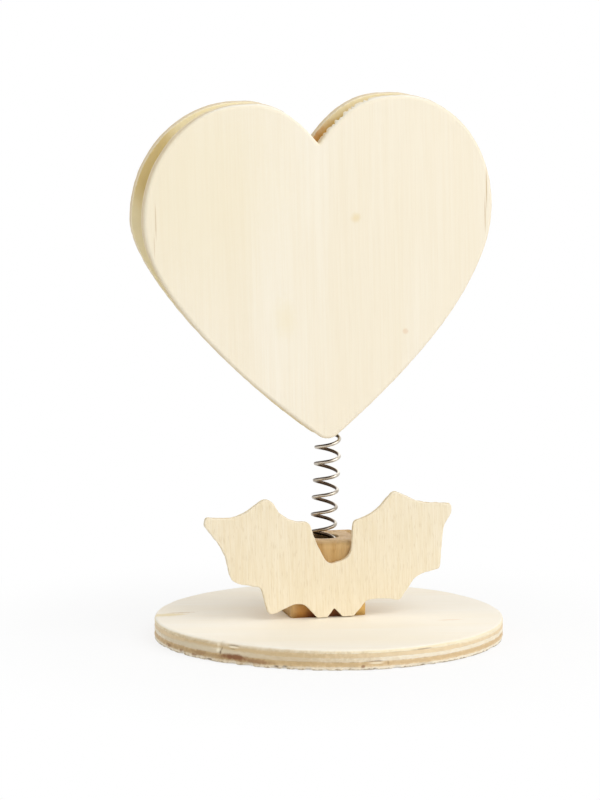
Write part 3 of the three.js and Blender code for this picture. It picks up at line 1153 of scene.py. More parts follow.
@dataclass
class LeafPlate:
    """The pair of holly leaves cut as one plate.

    A corner of its outline is given across, up from the plate's foot, and by how far it is rounded along both
    its sides. The feet reach down through the glue to the base.
    """

    thickness: float = 1.5
    glue_line: float = 0.3
    base_top: float = 4.8
    block_front: float = -1.5
    shift: float = -0.3
    tilt_deg: float = -1.6
    edge_round: float = 0.28
    edge_spread: float = 0.14
    edge_width: float = 3.0
    saw_depth: float = 0.04
    spacing: float = 0.25
    corner_steps: int = 16
    right: tuple[Triple, ...] = (
        (5.45, 14.0, 2.6),
        (6.2, 22.7, 1.1),
        (11.3, 24.1, 3.0),
        (16.5, 29.5, 1.4),
        (23.0, 26.1, 2.4),
        (30.65, 25.35, 0.7),
        (30.75, 23.1, 0.8),
        (28.6, 20.2, 2.0),
        (27.5, 9.55, 1.0),
        (23.4, 8.85, 1.0),
        (21.3, 7.95, 1.0),
        (17.3, 2.55, 0.9),
        (12.8, 3.4, 1.6),
        (9.3, 3.3, 1.2),
    )
    feet: tuple[Triple, ...] = (
        (5.85, -0.42, 0.5),
        (3.0, -0.42, 0.5),
        (1.0, 1.85, 0.4),
        (-0.6, -0.32, 0.4),
        (-3.2, -0.32, 0.5),
    )
    left: tuple[Triple, ...] = (
        (-6.1, 3.0, 0.8),
        (-8.6, 3.7, 1.6),
        (-15.1, 0.75, 2.2),
        (-16.8, 8.0, 0.9),
        (-24.1, 9.75, 2.4),
        (-25.55, 17.5, 3.0),
        (-30.35, 24.0, 0.7),
        (-29.9, 25.95, 0.8),
        (-22.2, 25.2, 3.5),
        (-15.6, 29.45, 1.1),
        (-13.6, 28.95, 0.9),
        (-11.9, 25.95, 0.8),
        (-8.9, 23.7, 1.5),
        (-4.5, 23.15, 1.2),
        (-3.15, 18.4, 2.4),
        (-0.15, 12.4, 1.9),
    )

    def place(self) -> Place:
        """Stands the plate on the base, its lower foot just clear of it.

        Returns:
            Where its drawing lies.
        """
        foot = max(abs(across) for across, *_ in self.feet)
        lift = foot * math.sin(math.radians(abs(self.tilt_deg)))
        return Place((self.shift, 0.0, self.base_top + self.glue_line + lift), 0.0, self.tilt_deg)

    def outline(self) -> np.ndarray:
        """Draws the plate: straight sides, and a quadratic Bezier curve round each corner.

        Returns:
            The outline, counter-clockwise from the front.
        """
        drawn = np.array([*self.right, *self.feet, *self.left])
        corners, ease = drawn[:, :2], drawn[:, 2:]
        sides = unit(np.roll(corners, -1, axis=0) - corners)
        starts = corners - ease * np.roll(sides, 1, axis=0)
        ends = corners + ease * sides
        bends = zip(starts, corners, ends)
        curves = [bezier(np.array(controls), self.corner_steps) for controls in bends]
        whole = [np.vstack([curve, end]) for curve, end in zip(curves, ends)]
        return even_ring(np.vstack(whole)[::-1], self.spacing)

    def build(self, finish: PlyFinish, groups: SharedGroups, rng: np.random.Generator) -> None:
        """Builds the plate.

        Args:
            finish: Its plywood.
            groups: The shared node groups.
            rng: Source of its small unevenness.
        """
        outline = self.outline()
        uneven = np.tanh(smooth_noise((2, len(outline)), (0.0, self.edge_width), rng))
        rounds = self.edge_round + self.edge_spread * uneven
        board = Board(
            outline=outline,
            thickness=self.thickness,
            front_y=self.block_front - self.glue_line - self.thickness,
            front_round=rounds[0],
            back_round=rounds[1],
            plies=THREE_PLIES,
            saw_depth=self.saw_depth,
        )
        piece = board.surface(self.place(), rng).to_object("holly_plate")
        settle(piece, finish.make(groups, self.place()), Body.STAND, "leaf_plate")


@dataclass
class HeartHead:
    """The nodding head: two plywood hearts, and the hardwood spacer between them."""

    place: Place = Place((1.5, 7.0, 48.1), 4.0, -2.4)
    gap: float = 7.2
    thickness: float = 3.0
    glue_line: float = 0.3
    offset: float = -1.35
    rear_drop: float = 0.8
    right_half: float = 41.5
    right_waist: float = 18.5
    front_left: tuple[float, float] = (43.4, 16.2)
    rear_left: tuple[float, float] = (44.3, 12.0)
    height: float = 81.7
    lobe: float = 19.0
    notch_shift: float = -0.6
    notch_depth: float = 10.4
    notch_angle_deg: float = 53.0
    notch_handle: float = 14.0
    lobe_handle: float = 4.3
    widest: float = 54.6
    flank_deg: float = 38.0
    flank_handle: float = 25.0
    tip_radius: float = 3.6
    outer_round: float = 0.85
    outer_spread: float = 0.12
    outer_width: float = 12.0
    inner_round: float = 0.22
    splinter_width: float = 0.6
    splinter_most: float = 2.0
    torn: float = 1.0
    torn_at: float = 7.0
    torn_reach: float = 6.0
    spacing: float = 0.3
    curve_steps: tuple[int, int, int, int] = (12, 200, 150, 120)
    spacer_bottom: float = 7.0
    spacer_height: float = 14.0
    spacer_widths: tuple[float, float] = (15.0, 26.0)
    spacer_round: float = 0.2
    spacer_arris_steps: int = 3
    slot_depth: float = 8.0
    slot_width: float = 7.2

    def half(self, widest: float, waist: float, notch_x: float) -> np.ndarray:
        """Draws one half of a heart: round tip, long flank, outer and inner side of the lobe.

        Args:
            widest: Half width at the widest place.
            waist: Length of the flank's upright handle.
            notch_x: How far the notch lies to this half's side of the tip.

        Returns:
            Points from the tip to just before the notch, drawn to the right.
        """
        tip_steps, flank_steps, outer_steps, inner_steps = self.curve_steps
        flank = math.radians(self.flank_deg)
        dip = math.radians(self.notch_angle_deg)
        turn = np.linspace(0, flank, tip_steps, endpoint=False)
        tip = self.tip_radius * np.column_stack([np.sin(turn), 1 - np.cos(turn)])
        foot = self.tip_radius * np.array([math.sin(flank), 1 - math.cos(flank)])
        rise = np.array([math.cos(flank), math.sin(flank)])
        top = (self.lobe, self.height)
        side = (widest, self.widest)
        notch = np.array([notch_x, self.height - self.notch_depth])
        shoulder = (widest, self.widest + QUARTER_HANDLE * (self.height - self.widest))
        crown = (self.lobe + QUARTER_HANDLE * (widest - self.lobe), self.height)
        inner = (self.lobe - self.lobe_handle, self.height)
        rim = notch + self.notch_handle * np.array([math.cos(dip), math.sin(dip)])
        upright = (widest, self.widest - waist)
        lower = bezier(np.array([foot, foot + self.flank_handle * rise, upright, side]), flank_steps)
        outer = bezier(np.array([side, shoulder, crown, top]), outer_steps)
        within = bezier(np.array([top, inner, rim, notch]), inner_steps)
        return np.vstack([tip, lower, outer, within])

    def outline(self, left: tuple[float, float]) -> np.ndarray:
        """Draws a whole heart, counter-clockwise from the front.

        Args:
            left: Half width and waist of its left side.

        Returns:
            The outline, evenly spaced.
        """
        notch = np.array([[self.notch_shift, self.height - self.notch_depth]])
        right = self.half(self.right_half, self.right_waist, self.notch_shift)
        mirrored = self.half(*left, -self.notch_shift)[::-1] * [-1, 1]
        whole = np.vstack([right, notch, mirrored[:-1]])
        return even_ring(whole, self.spacing)

    def panel(self, left: tuple[float, float], rear: bool, rng: np.random.Generator) -> Board:
        """Makes one heart: its outer arris sanded round, its inner one left sharp and torn near the notch.

        Args:
            left: Half width and waist of its left side.
            rear: Whether it is the rear heart, whose outer face is its back.
            rng: Source of its small unevenness.

        Returns:
            The board.
        """
        outline = self.outline(left)
        count = len(outline)
        x, z = outline.T
        uneven = np.tanh(smooth_noise((count,), (self.outer_width,), rng))
        sanded = self.outer_round * (1 + self.outer_spread * uneven)
        fibres = np.clip(smooth_noise((count,), (self.splinter_width,), rng), 0, self.splinter_most)
        splinters = fibres / self.splinter_most
        beside = np.exp(-(((x - self.torn_at) / self.torn_reach) ** 4))
        near_notch = beside * (z > self.height - self.notch_depth)
        sharp = self.inner_round * (1 + splinters)
        drop = self.rear_drop if rear else 0.0
        return Board(
            outline=outline + [self.offset, -drop],
            thickness=self.thickness,
            front_y=self.gap / 2 if rear else -self.gap / 2 - self.thickness,
            front_round=sharp if rear else sanded,
            back_round=sanded if rear else sharp,
            plies=THREE_PLIES,
            back_tear=0.0 if rear else self.torn * splinters * near_notch,
        )

    def spacer(self) -> Board:
        """Makes the spacer: a tapered block with a slot from below for the spring's top.

        Returns:
            The block, as a board of one ply.
        """
        low, high = self.spacer_bottom, self.spacer_bottom + self.spacer_height
        slot_top = low + self.slot_depth
        bottom, top = (width / 2 for width in self.spacer_widths)
        slot = self.slot_width / 2
        corners = np.array(
            [
                (self.offset - bottom, low),
                (-slot, low),
                (-slot, slot_top),
                (slot, slot_top),
                (slot, low),
                (self.offset + bottom, low),
                (self.offset + top, high),
                (self.offset - top, high),
            ]
        )
        outline = even_ring(corners, self.spacing)
        thickness = self.gap - 2 * self.glue_line
        rounds = np.full(len(outline), self.spacer_round)
        return Board(
            outline=outline,
            thickness=thickness,
            front_y=-thickness / 2,
            front_round=rounds,
            back_round=rounds,
            plies=(1,),
            ply_sink=0.0,
            arris_steps=self.spacer_arris_steps,
        )

    def build(
        self,
        front: PlyFinish,
        rear: PlyFinish,
        hardwood: HardwoodFinish,
        groups: SharedGroups,
        rng: np.random.Generator,
    ) -> None:
        """Builds the head.

        Args:
            front: Plywood of the front heart.
            rear: Plywood of the rear heart.
            hardwood: Wood of the spacer.
            groups: The shared node groups.
            rng: Source of small unevenness.
        """
        for name, node, left, is_rear, finish in (
            ("front_heart", "heart_front", self.front_left, False, front),
            ("rear_heart", "heart_back", self.rear_left, True, rear),
        ):
            piece = self.panel(left, is_rear, rng).surface(self.place, rng).to_object(name)
            settle(piece, finish.make(groups, self.place), Body.HEAD, node)
        piece = self.spacer().surface(self.place, rng).to_object("spacer_block")
        material = hardwood.make(groups, self.place)
        settle(piece, material, Body.HEAD, "heart_spacer")


@dataclass
class CoilSpring:
    """The steel spring: a coil of round wire on an axis that bends from the block to the leaning head."""

    head: Place
    diameter: float = 6.5
    wire: float = 0.85
    pitch: float = 4.12
    start_deg: float = 79.0
    foot: Triple = (0.5, 7.0, 23.0)
    in_block: float = 5.7
    in_head: float = 14.7
    steps_per_turn: int = 56
    sides: int = 16
    axis_steps: int = 300
    bend_steps: int = 100
    seam_margin: float = 0.9

    def bend_controls(self) -> np.ndarray:
        """Works out the axis in the open: upright at the foot, along the head's own up at the top.

        Returns:
            The four controls of its Bezier curve.
        """
        foot, top = np.array(self.foot), np.array(self.head.origin)
        reach = (top - foot)[2] / 3
        up = self.head.turn()[:, 2]
        return np.array([foot, foot + [0, 0, reach], top - reach * up, top])

    def axis(self) -> tuple[np.ndarray, np.ndarray]:
        """Samples the axis: straight in the block, a cubic Bezier in the open, straight between the hearts.

        Returns:
            Points of the axis, and the distance along it at each.
        """
        foot, top = np.array(self.foot), np.array(self.head.origin)
        bottom = foot - [0, 0, self.in_block]
        end = top + self.in_head * self.head.turn()[:, 2]
        points = np.vstack([bottom, bezier(self.bend_controls(), self.axis_steps), top, end])
        return points, distances(points)

    def wire_rings(self) -> tuple[np.ndarray, np.ndarray]:
        """Works out the rings of the wire: circles square to a helix about the axis.

        A point of the helix is the axis at a distance, moved out by the coil's radius at an angle that grows
        by one turn a pitch. Each circle is spanned by the way out from the axis and the wire's own binormal.

        Returns:
            Rings as an array of ring, side and coordinate, and each ring's distance along the axis.
        """
        points, along = self.axis()
        count = round((along[-1] - 2 * self.wire) / self.pitch * self.steps_per_turn)
        distance = np.linspace(self.wire, along[-1] - self.wire, count)
        centre = np.column_stack([np.interp(distance, along, axis) for axis in points.T])
        ahead = unit(np.gradient(centre, axis=0))
        across = unit(np.array([1.0, 0.0, 0.0]) - ahead * ahead[:, :1])
        beside = np.cross(ahead, across)
        angle = math.radians(self.start_deg) + 2 * np.pi * (distance - self.in_block) / self.pitch
        out = across * np.cos(angle)[:, None] + beside * np.sin(angle)[:, None]
        path = centre + out * (self.diameter - self.wire) / 2
        run = unit(np.gradient(path, axis=0))
        out = unit(out - run * np.sum(out * run, axis=1, keepdims=True))
        binormal = np.cross(run, out)
        turn = 2 * np.pi * np.arange(self.sides) / self.sides
        circle = np.cos(turn)[:, None] * out[:, None] - np.sin(turn)[:, None] * binormal[:, None]
        return path[:, None] + circle * self.wire / 2, distance

    def tube(self, rings: np.ndarray) -> Surface:
        """Joins rings of the wire into a closed tube.

        Args:
            rings: Rings as an array of ring, side and coordinate.

        Returns:
            The tube, with how far each point faces into the coil and up.
        """
        count = len(rings)
        ring = np.arange(self.sides)
        return Surface(
            points=rings.reshape(-1, 3),
            quads=ring_quads(count, self.sides),
            caps=[ring, ring[::-1] + (count - 1) * self.sides],
            attributes={
                INSIDE: np.tile(-np.cos(2 * np.pi * ring / self.sides), count),
                UPPER: np.tile(np.sin(2 * np.pi * ring / self.sides), count),
            },
        )

    def build(self, finish: SteelFinish) -> None:
        """Builds the spring as two lengths that meet halfway, each bending across one of its two joints.

        Args:
            finish: Its steel.
        """
        rings, distance = self.wire_rings()
        bend = bezier(self.bend_controls(), self.bend_steps)
        middle = self.in_block + np.linalg.norm(np.diff(bend, axis=0), axis=1).sum() / 2
        split = int(np.searchsorted(distance, middle))
        halfway = bend[len(bend) // 2]
        below = tuple((halfway - [0, 0, self.seam_margin]) * MM)
        above = tuple((halfway + [0, 0, self.seam_margin]) * MM)
        foot = tuple(np.array(self.foot) * MM)
        top = tuple(np.array(self.head.origin) * MM)
        material = finish.make(Place())
        for name, part, lower, upper, start, end in (
            ("spring_lower", rings[: split + 1], Body.STAND, Body.STEM, foot, below),
            ("spring_upper", rings[split:], Body.STEM, Body.HEAD, above, top),
        ):
            piece = self.tube(part).to_object(name)
            piece.data.materials.append(material)
            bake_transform(piece, lower.value, upper.value, start=start, end=end)
            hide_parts("spring")
            faces = len(piece.data.polygons)
            log.info("%s: %d faces, bends from %s to %s", name, faces, lower.value, upper.value)


def direction(azimuth_deg: float, elevation_deg: float) -> Vector:
    """Gives the way towards a place round the object.

    Args:
        azimuth_deg: Its azimuth, 0 at the front and growing to the right.
        elevation_deg: Its elevation.

    Returns:
        The unit vector.
    """
    azimuth, elevation = math.radians(azimuth_deg), math.radians(elevation_deg)
    level = math.cos(elevation)
    return Vector((math.sin(azimuth) * level, -math.cos(azimuth) * level, math.sin(elevation)))


@dataclass(frozen=True)
class SoftLight:
    """A round soft light: its power in watts, its size and distance in metres, and where it hangs."""

    name: str
    power: float
    size: float
    azimuth_deg: float
    elevation_deg: float
    distance: float
    aim: Triple = (0.0, 0.0, 0.06)

    def build(self) -> None:
        """Hangs the light, aimed at the object."""
        light = bpy.data.lights.new(self.name, "AREA")
        light.shape = "DISK"
        light.size = self.size
        light.energy = self.power
        lamp = add_object(self.name, light)
        back = direction(self.azimuth_deg, self.elevation_deg)
        lamp.location = Vector(self.aim) + back * self.distance
        lamp.rotation_euler = (-back).to_track_quat("-Z", "Y").to_euler()


@dataclass(frozen=True)
class Studio:
    """White studio: a floor that keeps the shadow, soft light from three sides, and the camera.

    Near the object the seen floor has a share of diffuse white and a glow. It turns to plain white between
    the two distances of its fade. Sizes are in metres.
    """

    ambient: float = 0.46
    lights: tuple[SoftLight, ...] = (
        SoftLight("key_light", 8.6, 1.3, 42.0, 34.5, 1.1),
        SoftLight("fill_light", 3.3, 1.4, -66.0, 25.0, 1.1),
        SoftLight("back_light", 2.2, 1.2, 165.0, 30.0, 1.05),
    )
    floor_size: float = 1.6
    floor_gap: float = 0.0001
    floor_bounce: float = 0.8
    floor_share: float = 0.2
    floor_glow: float = 0.79
    floor_fade: tuple[float, float] = (0.044, 0.11)
    azimuth_deg: float = -14.0
    elevation_deg: float = 11.23
    distance: float = 1.0
    target: Triple = (0.0, 0.0, 0.005)
    target_px: tuple[float, float] = (329.0, 614.5)
    frame_px: tuple[int, int] = (600, 800)
    focal_px: float = 4154.0
    sensor: float = 36.0
    clip_start: float = 0.05

    def seen(self, graph: Graph) -> Socket:
        """Tells the rays that see the background, directly, in a mirror or through glass.

        Args:
            graph: The graph of the floor or the world.

        Returns:
            1 on those rays and 0 on the others.
        """
        rays = graph.add("ShaderNodeLightPath").outputs
        seen = graph.math("MAXIMUM", rays["Is Camera Ray"], rays["Is Glossy Ray"])
        return graph.math("MAXIMUM", seen, rays["Is Transmission Ray"])

    def build_world(self) -> None:
        """Makes the world: white where it is seen, and a softer light on the object."""
        world = bpy.data.worlds.new("white_studio")
        world.use_nodes = True
        bpy.context.scene.world = world
        graph = Graph(world.node_tree)
        background = world.node_tree.nodes["Background"]
        seen = self.seen(graph)
        background.inputs["Color"].default_value = (1.0, 1.0, 1.0, 1.0)
        lift = graph.math("MULTIPLY_ADD", seen, 1.0 - self.ambient, self.ambient)
        graph.put(background.inputs["Strength"], lift)

    def build_floor(self) -> None:
        """Makes the white floor: part diffuse, to keep the shadow, and part glow where it is seen.

        Away from the object the seen floor turns to plain white glow, so that it has no far edge.
        """
        half = self.floor_size / 2
        corners = half * np.array([(-1, -1, 0), (1, -1, 0), (1, 1, 0), (-1, 1, 0)])
        corners[:, 2] -= self.floor_gap
        mesh = bpy.data.meshes.new("floor")
        mesh.from_pydata(corners.tolist(), [], [(0, 1, 2, 3)])
        floor = add_object("floor", mesh)
        material = bpy.data.materials.new("white_floor")
        material.use_nodes = True
        tree = material.node_tree
        tree.nodes.clear()
        graph = Graph(tree)
        seen = self.seen(graph)
        at = graph.add("ShaderNodeTexCoord").outputs["Object"]
        near = graph.remap(graph.length(at), *self.floor_fade, 1.0, 0.0)
        change = graph.math("MULTIPLY_ADD", near, self.floor_share, -self.floor_bounce)
        shade = graph.math("MULTIPLY_ADD", seen, change, self.floor_bounce)
        colour = graph.add("ShaderNodeCombineColor", {0: shade, 1: shade, 2: shade}).outputs[0]
        diffuse = graph.add("ShaderNodeBsdfDiffuse", {"Color": colour})
        whole = graph.math("MULTIPLY_ADD", near, self.floor_glow - 1.0, 1.0)
        glow = graph.add("ShaderNodeEmission", {"Strength": graph.math("MULTIPLY", seen, whole)})
        both = graph.add("ShaderNodeAddShader", {0: diffuse.outputs[0], 1: glow.outputs[0]})
        graph.add("ShaderNodeOutputMaterial", {"Surface": both.outputs[0]})
        mesh.materials.append(material)

    def build_camera(self) -> None:
        """Sets up the camera so that the target lies at its pixel in the photograph's frame."""
        right_px = self.target_px[0] - self.frame_px[0] / 2
        down_px = self.target_px[1] - self.frame_px[1] / 2
        left_turn = math.degrees(math.atan(right_px / self.focal_px))
        up_turn = math.degrees(math.atan(down_px / self.focal_px))
        data = bpy.data.cameras.new("camera")
        data.sensor_width = self.sensor
        data.lens = self.focal_px / max(self.frame_px) * self.sensor
        data.clip_start = self.clip_start
        camera = add_object("camera", data)
        back = direction(self.azimuth_deg, self.elevation_deg)
        camera.location = Vector(self.target) + back * self.distance
        view = -direction(self.azimuth_deg + left_turn, self.elevation_deg - up_turn)
        camera.rotation_euler = view.to_track_quat("-Z", "Y").to_euler()
        bpy.context.scene.camera = camera

    def build(self) -> None:
        """Builds the whole studio."""
        bpy.context.scene.view_settings.view_transform = "Standard"
        self.build_world()
        self.build_floor()
        for light in self.lights:
            light.build()
        self.build_camera()


def inner_marks(lobes: tuple[Blemish, ...] = ()) -> tuple[Blemish, ...]:
    """Lists what a heart has on its inner side: a golden tint, painted warm light bounced between the hearts,
    and browner painted shade by the notch.

    Args:
        lobes: Marks inside its lobes, under the painted shade by the notch.

    Returns:
        The marks, from the lowest.
    """
    painted_gap_bounce = tone(255, 243, 204)
    brown = tone(224, 150, 40)
    return (
        # Painted light: the golden tint stands in for warm light bounced in the gap. Painted shade: the brown
        # by the notch.
        Blemish((0.0, 0.0, 0.0), (EVERYWHERE, 4.2, EVERYWHERE), painted_gap_bounce, 1.0, ragged=0.05, softness=0.1),
        *lobes,
        Blemish((-1.0, 0.0, 68.0), (14.0, 5.5, 13.0), brown, 1.0, ragged=0.2, softness=0.5),
    )


def painted_gap_shadow_marks() -> tuple[Blemish, ...]:
    """Lists the painted shadow that the front heart casts on the rear heart's inner face: by the left
    shoulder and in the right lobe.

    Returns:
        The marks, from the lowest.
    """
    shoulder_gap_shadow = tone(229, 207, 149)
    dark = tone(220, 192, 114)
    return (
        # Painted shadow in the gap between the hearts.
        Blemish((-41.0, 3.6, 68.5), (10.0, 1.6, 14.5), shoulder_gap_shadow, 1.0, ragged=0.1, softness=0.6),
        Blemish((17.65, 3.6, 53.8), (25.3, 1.2, 27.5), dark, 1.0, ragged=0.03, softness=0.1),
    )


def heart_blemishes() -> tuple[Blemish, ...]:
    """Lists the front heart's marks: a darker, yellower tone over the left, two knots, and cracks by the side
    edges.

    Returns:
        The marks, from the lowest.
    """
    face_y = -HeartHead.gap / 2 - HeartHead.thickness
    yellow = tone(244, 232, 200)
    knot = tone(234, 211, 154)
    pin = tone(226, 190, 152)
    crack = tone(198, 168, 120)
    return (
        Blemish((-34.0, face_y, 64.0), (34.0, 2.0, 44.0), yellow, 0.5, ragged=0.4, softness=0.9),
        Blemish((-11.2, face_y, 30.0), (4.0, 2.0, 7.0), yellow, 0.5, ragged=0.6, softness=1.0),
        Blemish((6.5, face_y, 53.2), (1.7, 2.0, 1.6), knot, 0.5, softness=0.9),
        Blemish((18.1, face_y, 25.0), (0.9, 2.0, 1.0), pin, 0.4),
        Blemish((-41.8, face_y, 55.5), (0.2, 2.0, 6.0), crack, 0.5, ragged=0.3),
        Blemish((-42.3, face_y, 49.5), (0.18, 2.0, 4.0), crack, 0.35, ragged=0.3),
        Blemish((38.7, face_y, 58.5), (0.2, 2.0, 7.0), crack, 0.7, ragged=0.3),
        Blemish((38.25, face_y, 52.0), (0.2, 2.0, 6.0), crack, 0.6, ragged=0.3),
    )


def heart_edge_highlight_and_fibres() -> tuple[Blemish, ...]:
    """Lists the front heart's edge marks: a pale top, painted highlight of light from above, and torn fibres
    in the right lobe.

    Returns:
        The marks, from the lowest.
    """
    sanded = tone(255, 251, 238)
    torn = tone(252, 243, 220)
    return (
        # Painted highlight: the pale top of the edge stands in for light from above.
        Blemish((-1.0, -6.3, 86.0), (48.0, 2.2, 18.0), sanded, 0.9, ragged=0.1, softness=0.5),
        Blemish((8.0, -4.0, 77.0), (9.0, 3.0, 7.0), torn, 0.7, softness=0.4),
    )


def base_blemishes() -> tuple[Blemish, ...]:
    """Lists the marks on the base's top: a cracked streak at the left and a faint mark at the right.

    Returns:
        The marks, from the lowest.
    """
    crack = tone(206, 174, 128)
    smear = tone(238, 220, 176)
    faint = tone(240, 218, 192)
    return (
        Blemish((-37.6, 0.0, 9.6), (6.5, 1.5, 2.2), smear, 0.9, ragged=1.0),
        Blemish((-33.6, 0.0, 11.6), (4.5, 1.5, 0.8), crack, 0.55, ragged=1.2),
        Blemish((27.0, 0.0, -12.0), (4.0, 1.5, 1.2), faint, 0.5, ragged=1.0),
    )


def edge_mark(
    angle_deg: float,
    depth: float,
    length: float,
    height: float,
    colour: Colour,
    strength: float,
    ragged: float = 0.8,
) -> Blemish:
    """Places a mark on the base's edge.

    Args:
        angle_deg: Where it is round the base, 0 at the front and growing to the right.
        depth: How far below the top it is.
        length: Half its length along the edge.
        height: Half its height.
        colour: Its colour.
        strength: How much it covers.
        ragged: How ragged its rim is.

    Returns:
        The mark, in the base's own drawing.
    """
    at = direction(angle_deg, 0.0) * RoundBase().edge_radius(angle_deg + DRAWN_FRONT_DEG, depth)
    return Blemish((at.x, depth, at.y), (length, height, length), colour, strength, ragged)


def base_edge_stains_and_shade() -> tuple[Blemish, ...]:
    """Lists the marks in the base's edge: a brown ply, a frayed bottom darkened partly by specks and partly
    by painted contact shade, painted shade over its left side, stains, a crack, and flakes, one with painted
    shadow.

    Each row of marks holds what edge_mark takes, in its order.

    Returns:
        The marks, from the lowest.
    """
    cream = tone(252, 236, 196)
    brown = tone(196, 156, 100)
    painted_left_shade = tone(190, 162, 114)
    umber = tone(150, 116, 74)
    stain = tone(134, 86, 54)
    dark = tone(104, 78, 46)
    painted_shaded_cream = tone(222, 208, 180)
    pale = tone(252, 241, 214)
    bands = (
        Blemish((0.0, 0.4, 0.0), (EVERYWHERE, 0.6, EVERYWHERE), cream, 0.7, ragged=0.6, softness=0.7),
        Blemish((0.0, 3.42, 0.0), (EVERYWHERE, 0.7, EVERYWHERE), brown, 0.45, ragged=1.4, softness=0.7),
        # Partly frayed dark specks along the bottom, partly painted contact shade where the base meets the
        # floor.
        Blemish((0.0, 4.9, 0.0), (EVERYWHERE, 0.5, EVERYWHERE), dark, 0.75, ragged=2.2, softness=0.6),
    )
    marks = (
        # Painted shade over the left side of the edge: tan over the top and grey over the cream ply.
        (-42.0, 2.4, 40.0, 3.4, painted_left_shade, 0.6),
        (-48.0, 0.5, 40.0, 0.6, painted_left_shade, 0.5),
        (-60.0, 2.15, 24.0, 0.85, painted_shaded_cream, 0.75),
        (-58.0, 3.6, 26.0, 0.8, umber, 0.35),
        (62.0, 0.85, 38.0, 0.55, pale, 0.75),
        (-80.0, 3.7, 2.2, 0.5, stain, 0.5, 1.2),
        (-71.0, 3.9, 1.5, 0.5, stain, 0.5, 1.2),
        (-64.0, 4.1, 1.2, 0.4, stain, 0.6, 1.2),
        (-47.0, 3.2, 5.6, 1.0, stain, 0.9),
        (-38.5, 3.6, 5.0, 0.8, stain, 0.5, 1.2),
        (-62.0, 3.4, 3.5, 0.9, stain, 0.3, 1.6),
        (-53.8, 0.7, 0.85, 1.0, pale, 1.0, 0.3),
        (-53.8, 1.8, 0.8, 1.1, pale, 1.0, 0.3),
        (-52.4, 1.4, 0.5, 0.9, dark, 0.8, 0.3),
        (-52.6, 2.4, 0.5, 0.9, dark, 0.8, 0.3),
        # A pale flake: the dark lines above and below it are its painted shadow.
        (-47.6, 0.62, 2.2, 0.28, dark, 0.6, 0.5),
        (-47.6, 1.0, 2.0, 0.3, pale, 0.8, 0.5),
        (-47.8, 1.45, 1.2, 0.2, dark, 0.4, 0.6),
        (17.5, 0.8, 3.8, 0.22, stain, 0.5, 0.8),
        (1.5, 2.75, 2.6, 0.2, stain, 0.6, 0.4),
        (1.5, 3.2, 2.3, 0.36, pale, 0.75, 0.4),
        (5.4, 3.3, 0.45, 0.7, stain, 0.5, 0.4),
        (-2.9, 3.9, 0.7, 0.5, stain, 0.7, 0.5),
        (-57.0, 4.5, 1.5, 0.35, dark, 0.9),
        (-31.1, 4.3, 0.9, 0.4, dark, 0.8),
        (-28.4, 4.2, 0.8, 0.45, dark, 0.8),
        (-20.1, 4.5, 0.6, 0.3, dark, 0.8),
        (-8.9, 4.6, 0.6, 0.3, dark, 0.8),
        (0.8, 4.5, 0.7, 0.3, dark, 0.7),
    )
    return (*bands, *(edge_mark(*mark) for mark in marks))


def block_tones_and_shading() -> tuple[Blemish, ...]:
    """Lists the block's marks: a paler top, the plate's shadow painted on its front, painted shade low on its
    front and between the plate's feet, and a painted patch of light at the lower right.

    Returns:
        The marks, from the lowest.
    """
    front_y = -StemBlock.forward
    pale = tone(234, 206, 172)
    painted_low_shade = tone(176, 112, 34)
    painted_low_light = tone(240, 196, 116)
    brown = tone(126, 78, 38)
    painted_foot_shade = tone(116, 58, 30)
    return (
        Blemish((0.0, 7.0, 23.1), (EVERYWHERE, EVERYWHERE, 0.6), pale, 0.2, ragged=0.1, softness=0.5),
        # Painted shadow that the plate's right edge casts on the block's front.
        Blemish((6.2, front_y, 16.5), (3.5, 1.5, 6.5), brown, 0.95, ragged=0.2, softness=0.8),
        # Painted shade low on the front, a painted patch of light at the lower right, and painted shade
        # between the plate's feet.
        Blemish((-4.0, front_y, 5.0), (7.0, 1.5, 4.5), painted_low_shade, 0.7, ragged=0.3, softness=0.6),
        Blemish((8.5, front_y, 6.0), (3.5, 1.5, 5.0), painted_low_light, 0.7, ragged=0.3, softness=0.6),
        Blemish((-4.0, front_y, 5.0), (3.4, 1.5, 2.6), painted_foot_shade, 0.85, ragged=0.3, softness=0.8),
        Blemish((1.4, front_y, 5.0), (2.6, 1.5, 3.2), painted_foot_shade, 0.85, ragged=0.3, softness=0.6),
    )


def bore_painted_light() -> tuple[Blemish, ...]:
    """Lists the marks in the block's hole: a pale patch on its right side, painted light on the lit inner
    wall.
    """
    return (Blemish((4.2, 6.0, 22.6), (2.4, 3.6, 1.8), tone(208, 178, 142), 0.85, ragged=0.2, softness=0.5),)


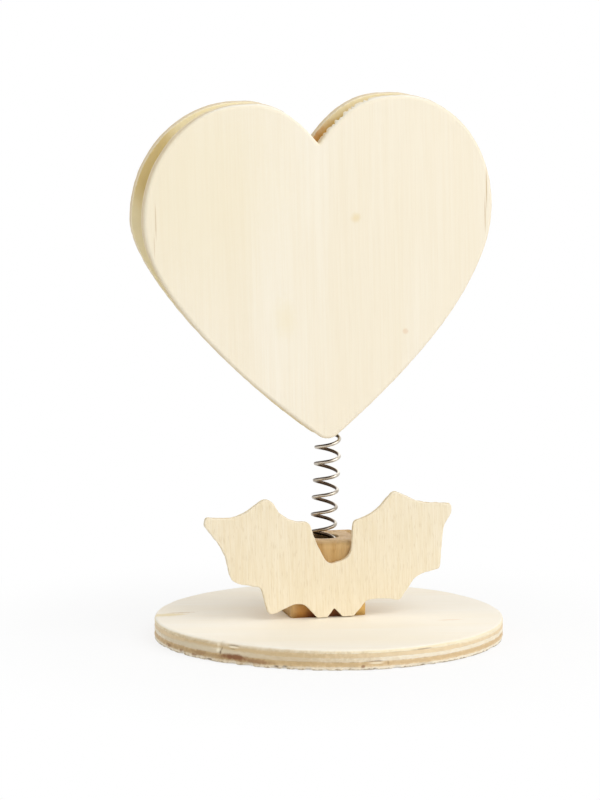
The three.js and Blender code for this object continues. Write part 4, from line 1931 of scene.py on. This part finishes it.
def make_finishes() -> dict[str, Finish]:
    """Sets out the finishes of the holder.

    Returns:
        The finishes by the name of what they dress.
    """
    heart = PlyFinish(
        "heart_rear_ply",
        Slot.HEART,
        # The hearts' rim is darker than their face: painted shade on the sanded arris.
        rim=tone(242, 230, 204),
        long_ply=tone(238, 222, 190),
        cross_ply=tone(230, 211, 174),
        rim_strength=0.4,
        seed=23.0,
        surface_patches=inner_marks(painted_gap_shadow_marks()),
    )
    marked = replace(heart, surface_patches=(*inner_marks(), *heart_blemishes()), edge_patches=heart_edge_highlight_and_fibres())
    return {
        "base": PlyFinish(
            "base_ply",
            Slot.BASE,
            face=tone(251, 245, 232),
            warm=tone(250, 242, 225),
            fibre=tone(240, 226, 200),
            long_ply=tone(247, 238, 218),
            cross_ply=tone(236, 214, 176),
            wobble=0.6,
            grain_turn_deg=(0.0, 80.0, 0.0),
            speckle_strength=0.5,
            glue_strength=0.3,
            seed=11.0,
            surface_patches=base_blemishes(),
            edge_patches=base_edge_stains_and_shade(),
        ),
        "block": HardwoodFinish(
            "block_hardwood",
            Slot.HARDWOOD,
            surface_patches=block_tones_and_shading(),
            bore_painted_light=bore_painted_light(),
        ),
        "spacer": HardwoodFinish("spacer_hardwood", Slot.HARDWOOD, seed=8.0),
        "leaf": PlyFinish(
            "leaf_ply",
            Slot.LEAF,
            face=tone(247, 236, 212),
            warm=tone(244, 231, 204),
            fibre=tone(224, 203, 156),
            glue=tone(186, 152, 92),
            fibre_width=0.36,
            fibre_length=8.0,
            fibre_strength=0.35,
            pore_strength=0.18,
            relief=0.05,
            seed=5.0,
        ),
        "heart_front": replace(marked, name="heart_front_ply", seed=0.0),
        "heart_rear": heart,
        "steel": SteelFinish("spring_steel", Slot.STEEL),
    }


def main() -> None:
    """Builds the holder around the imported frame, piece by piece, and the studio round it."""
    logging.basicConfig(level=logging.INFO, format="%(name)s: %(message)s")
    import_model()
    rng = np.random.default_rng(NOISE_SEED)
    groups = SharedGroups()
    finishes = make_finishes()
    Studio().build()
    RoundBase().build(finishes["base"], groups, rng)
    StemBlock().build(finishes["block"], groups)
    LeafPlate().build(finishes["leaf"], groups, rng)
    head = HeartHead()
    head.build(finishes["heart_front"], finishes["heart_rear"], finishes["spacer"], groups, rng)
    CoilSpring(head.place).build(finishes["steel"])


if __name__ == "__main__":
    main()
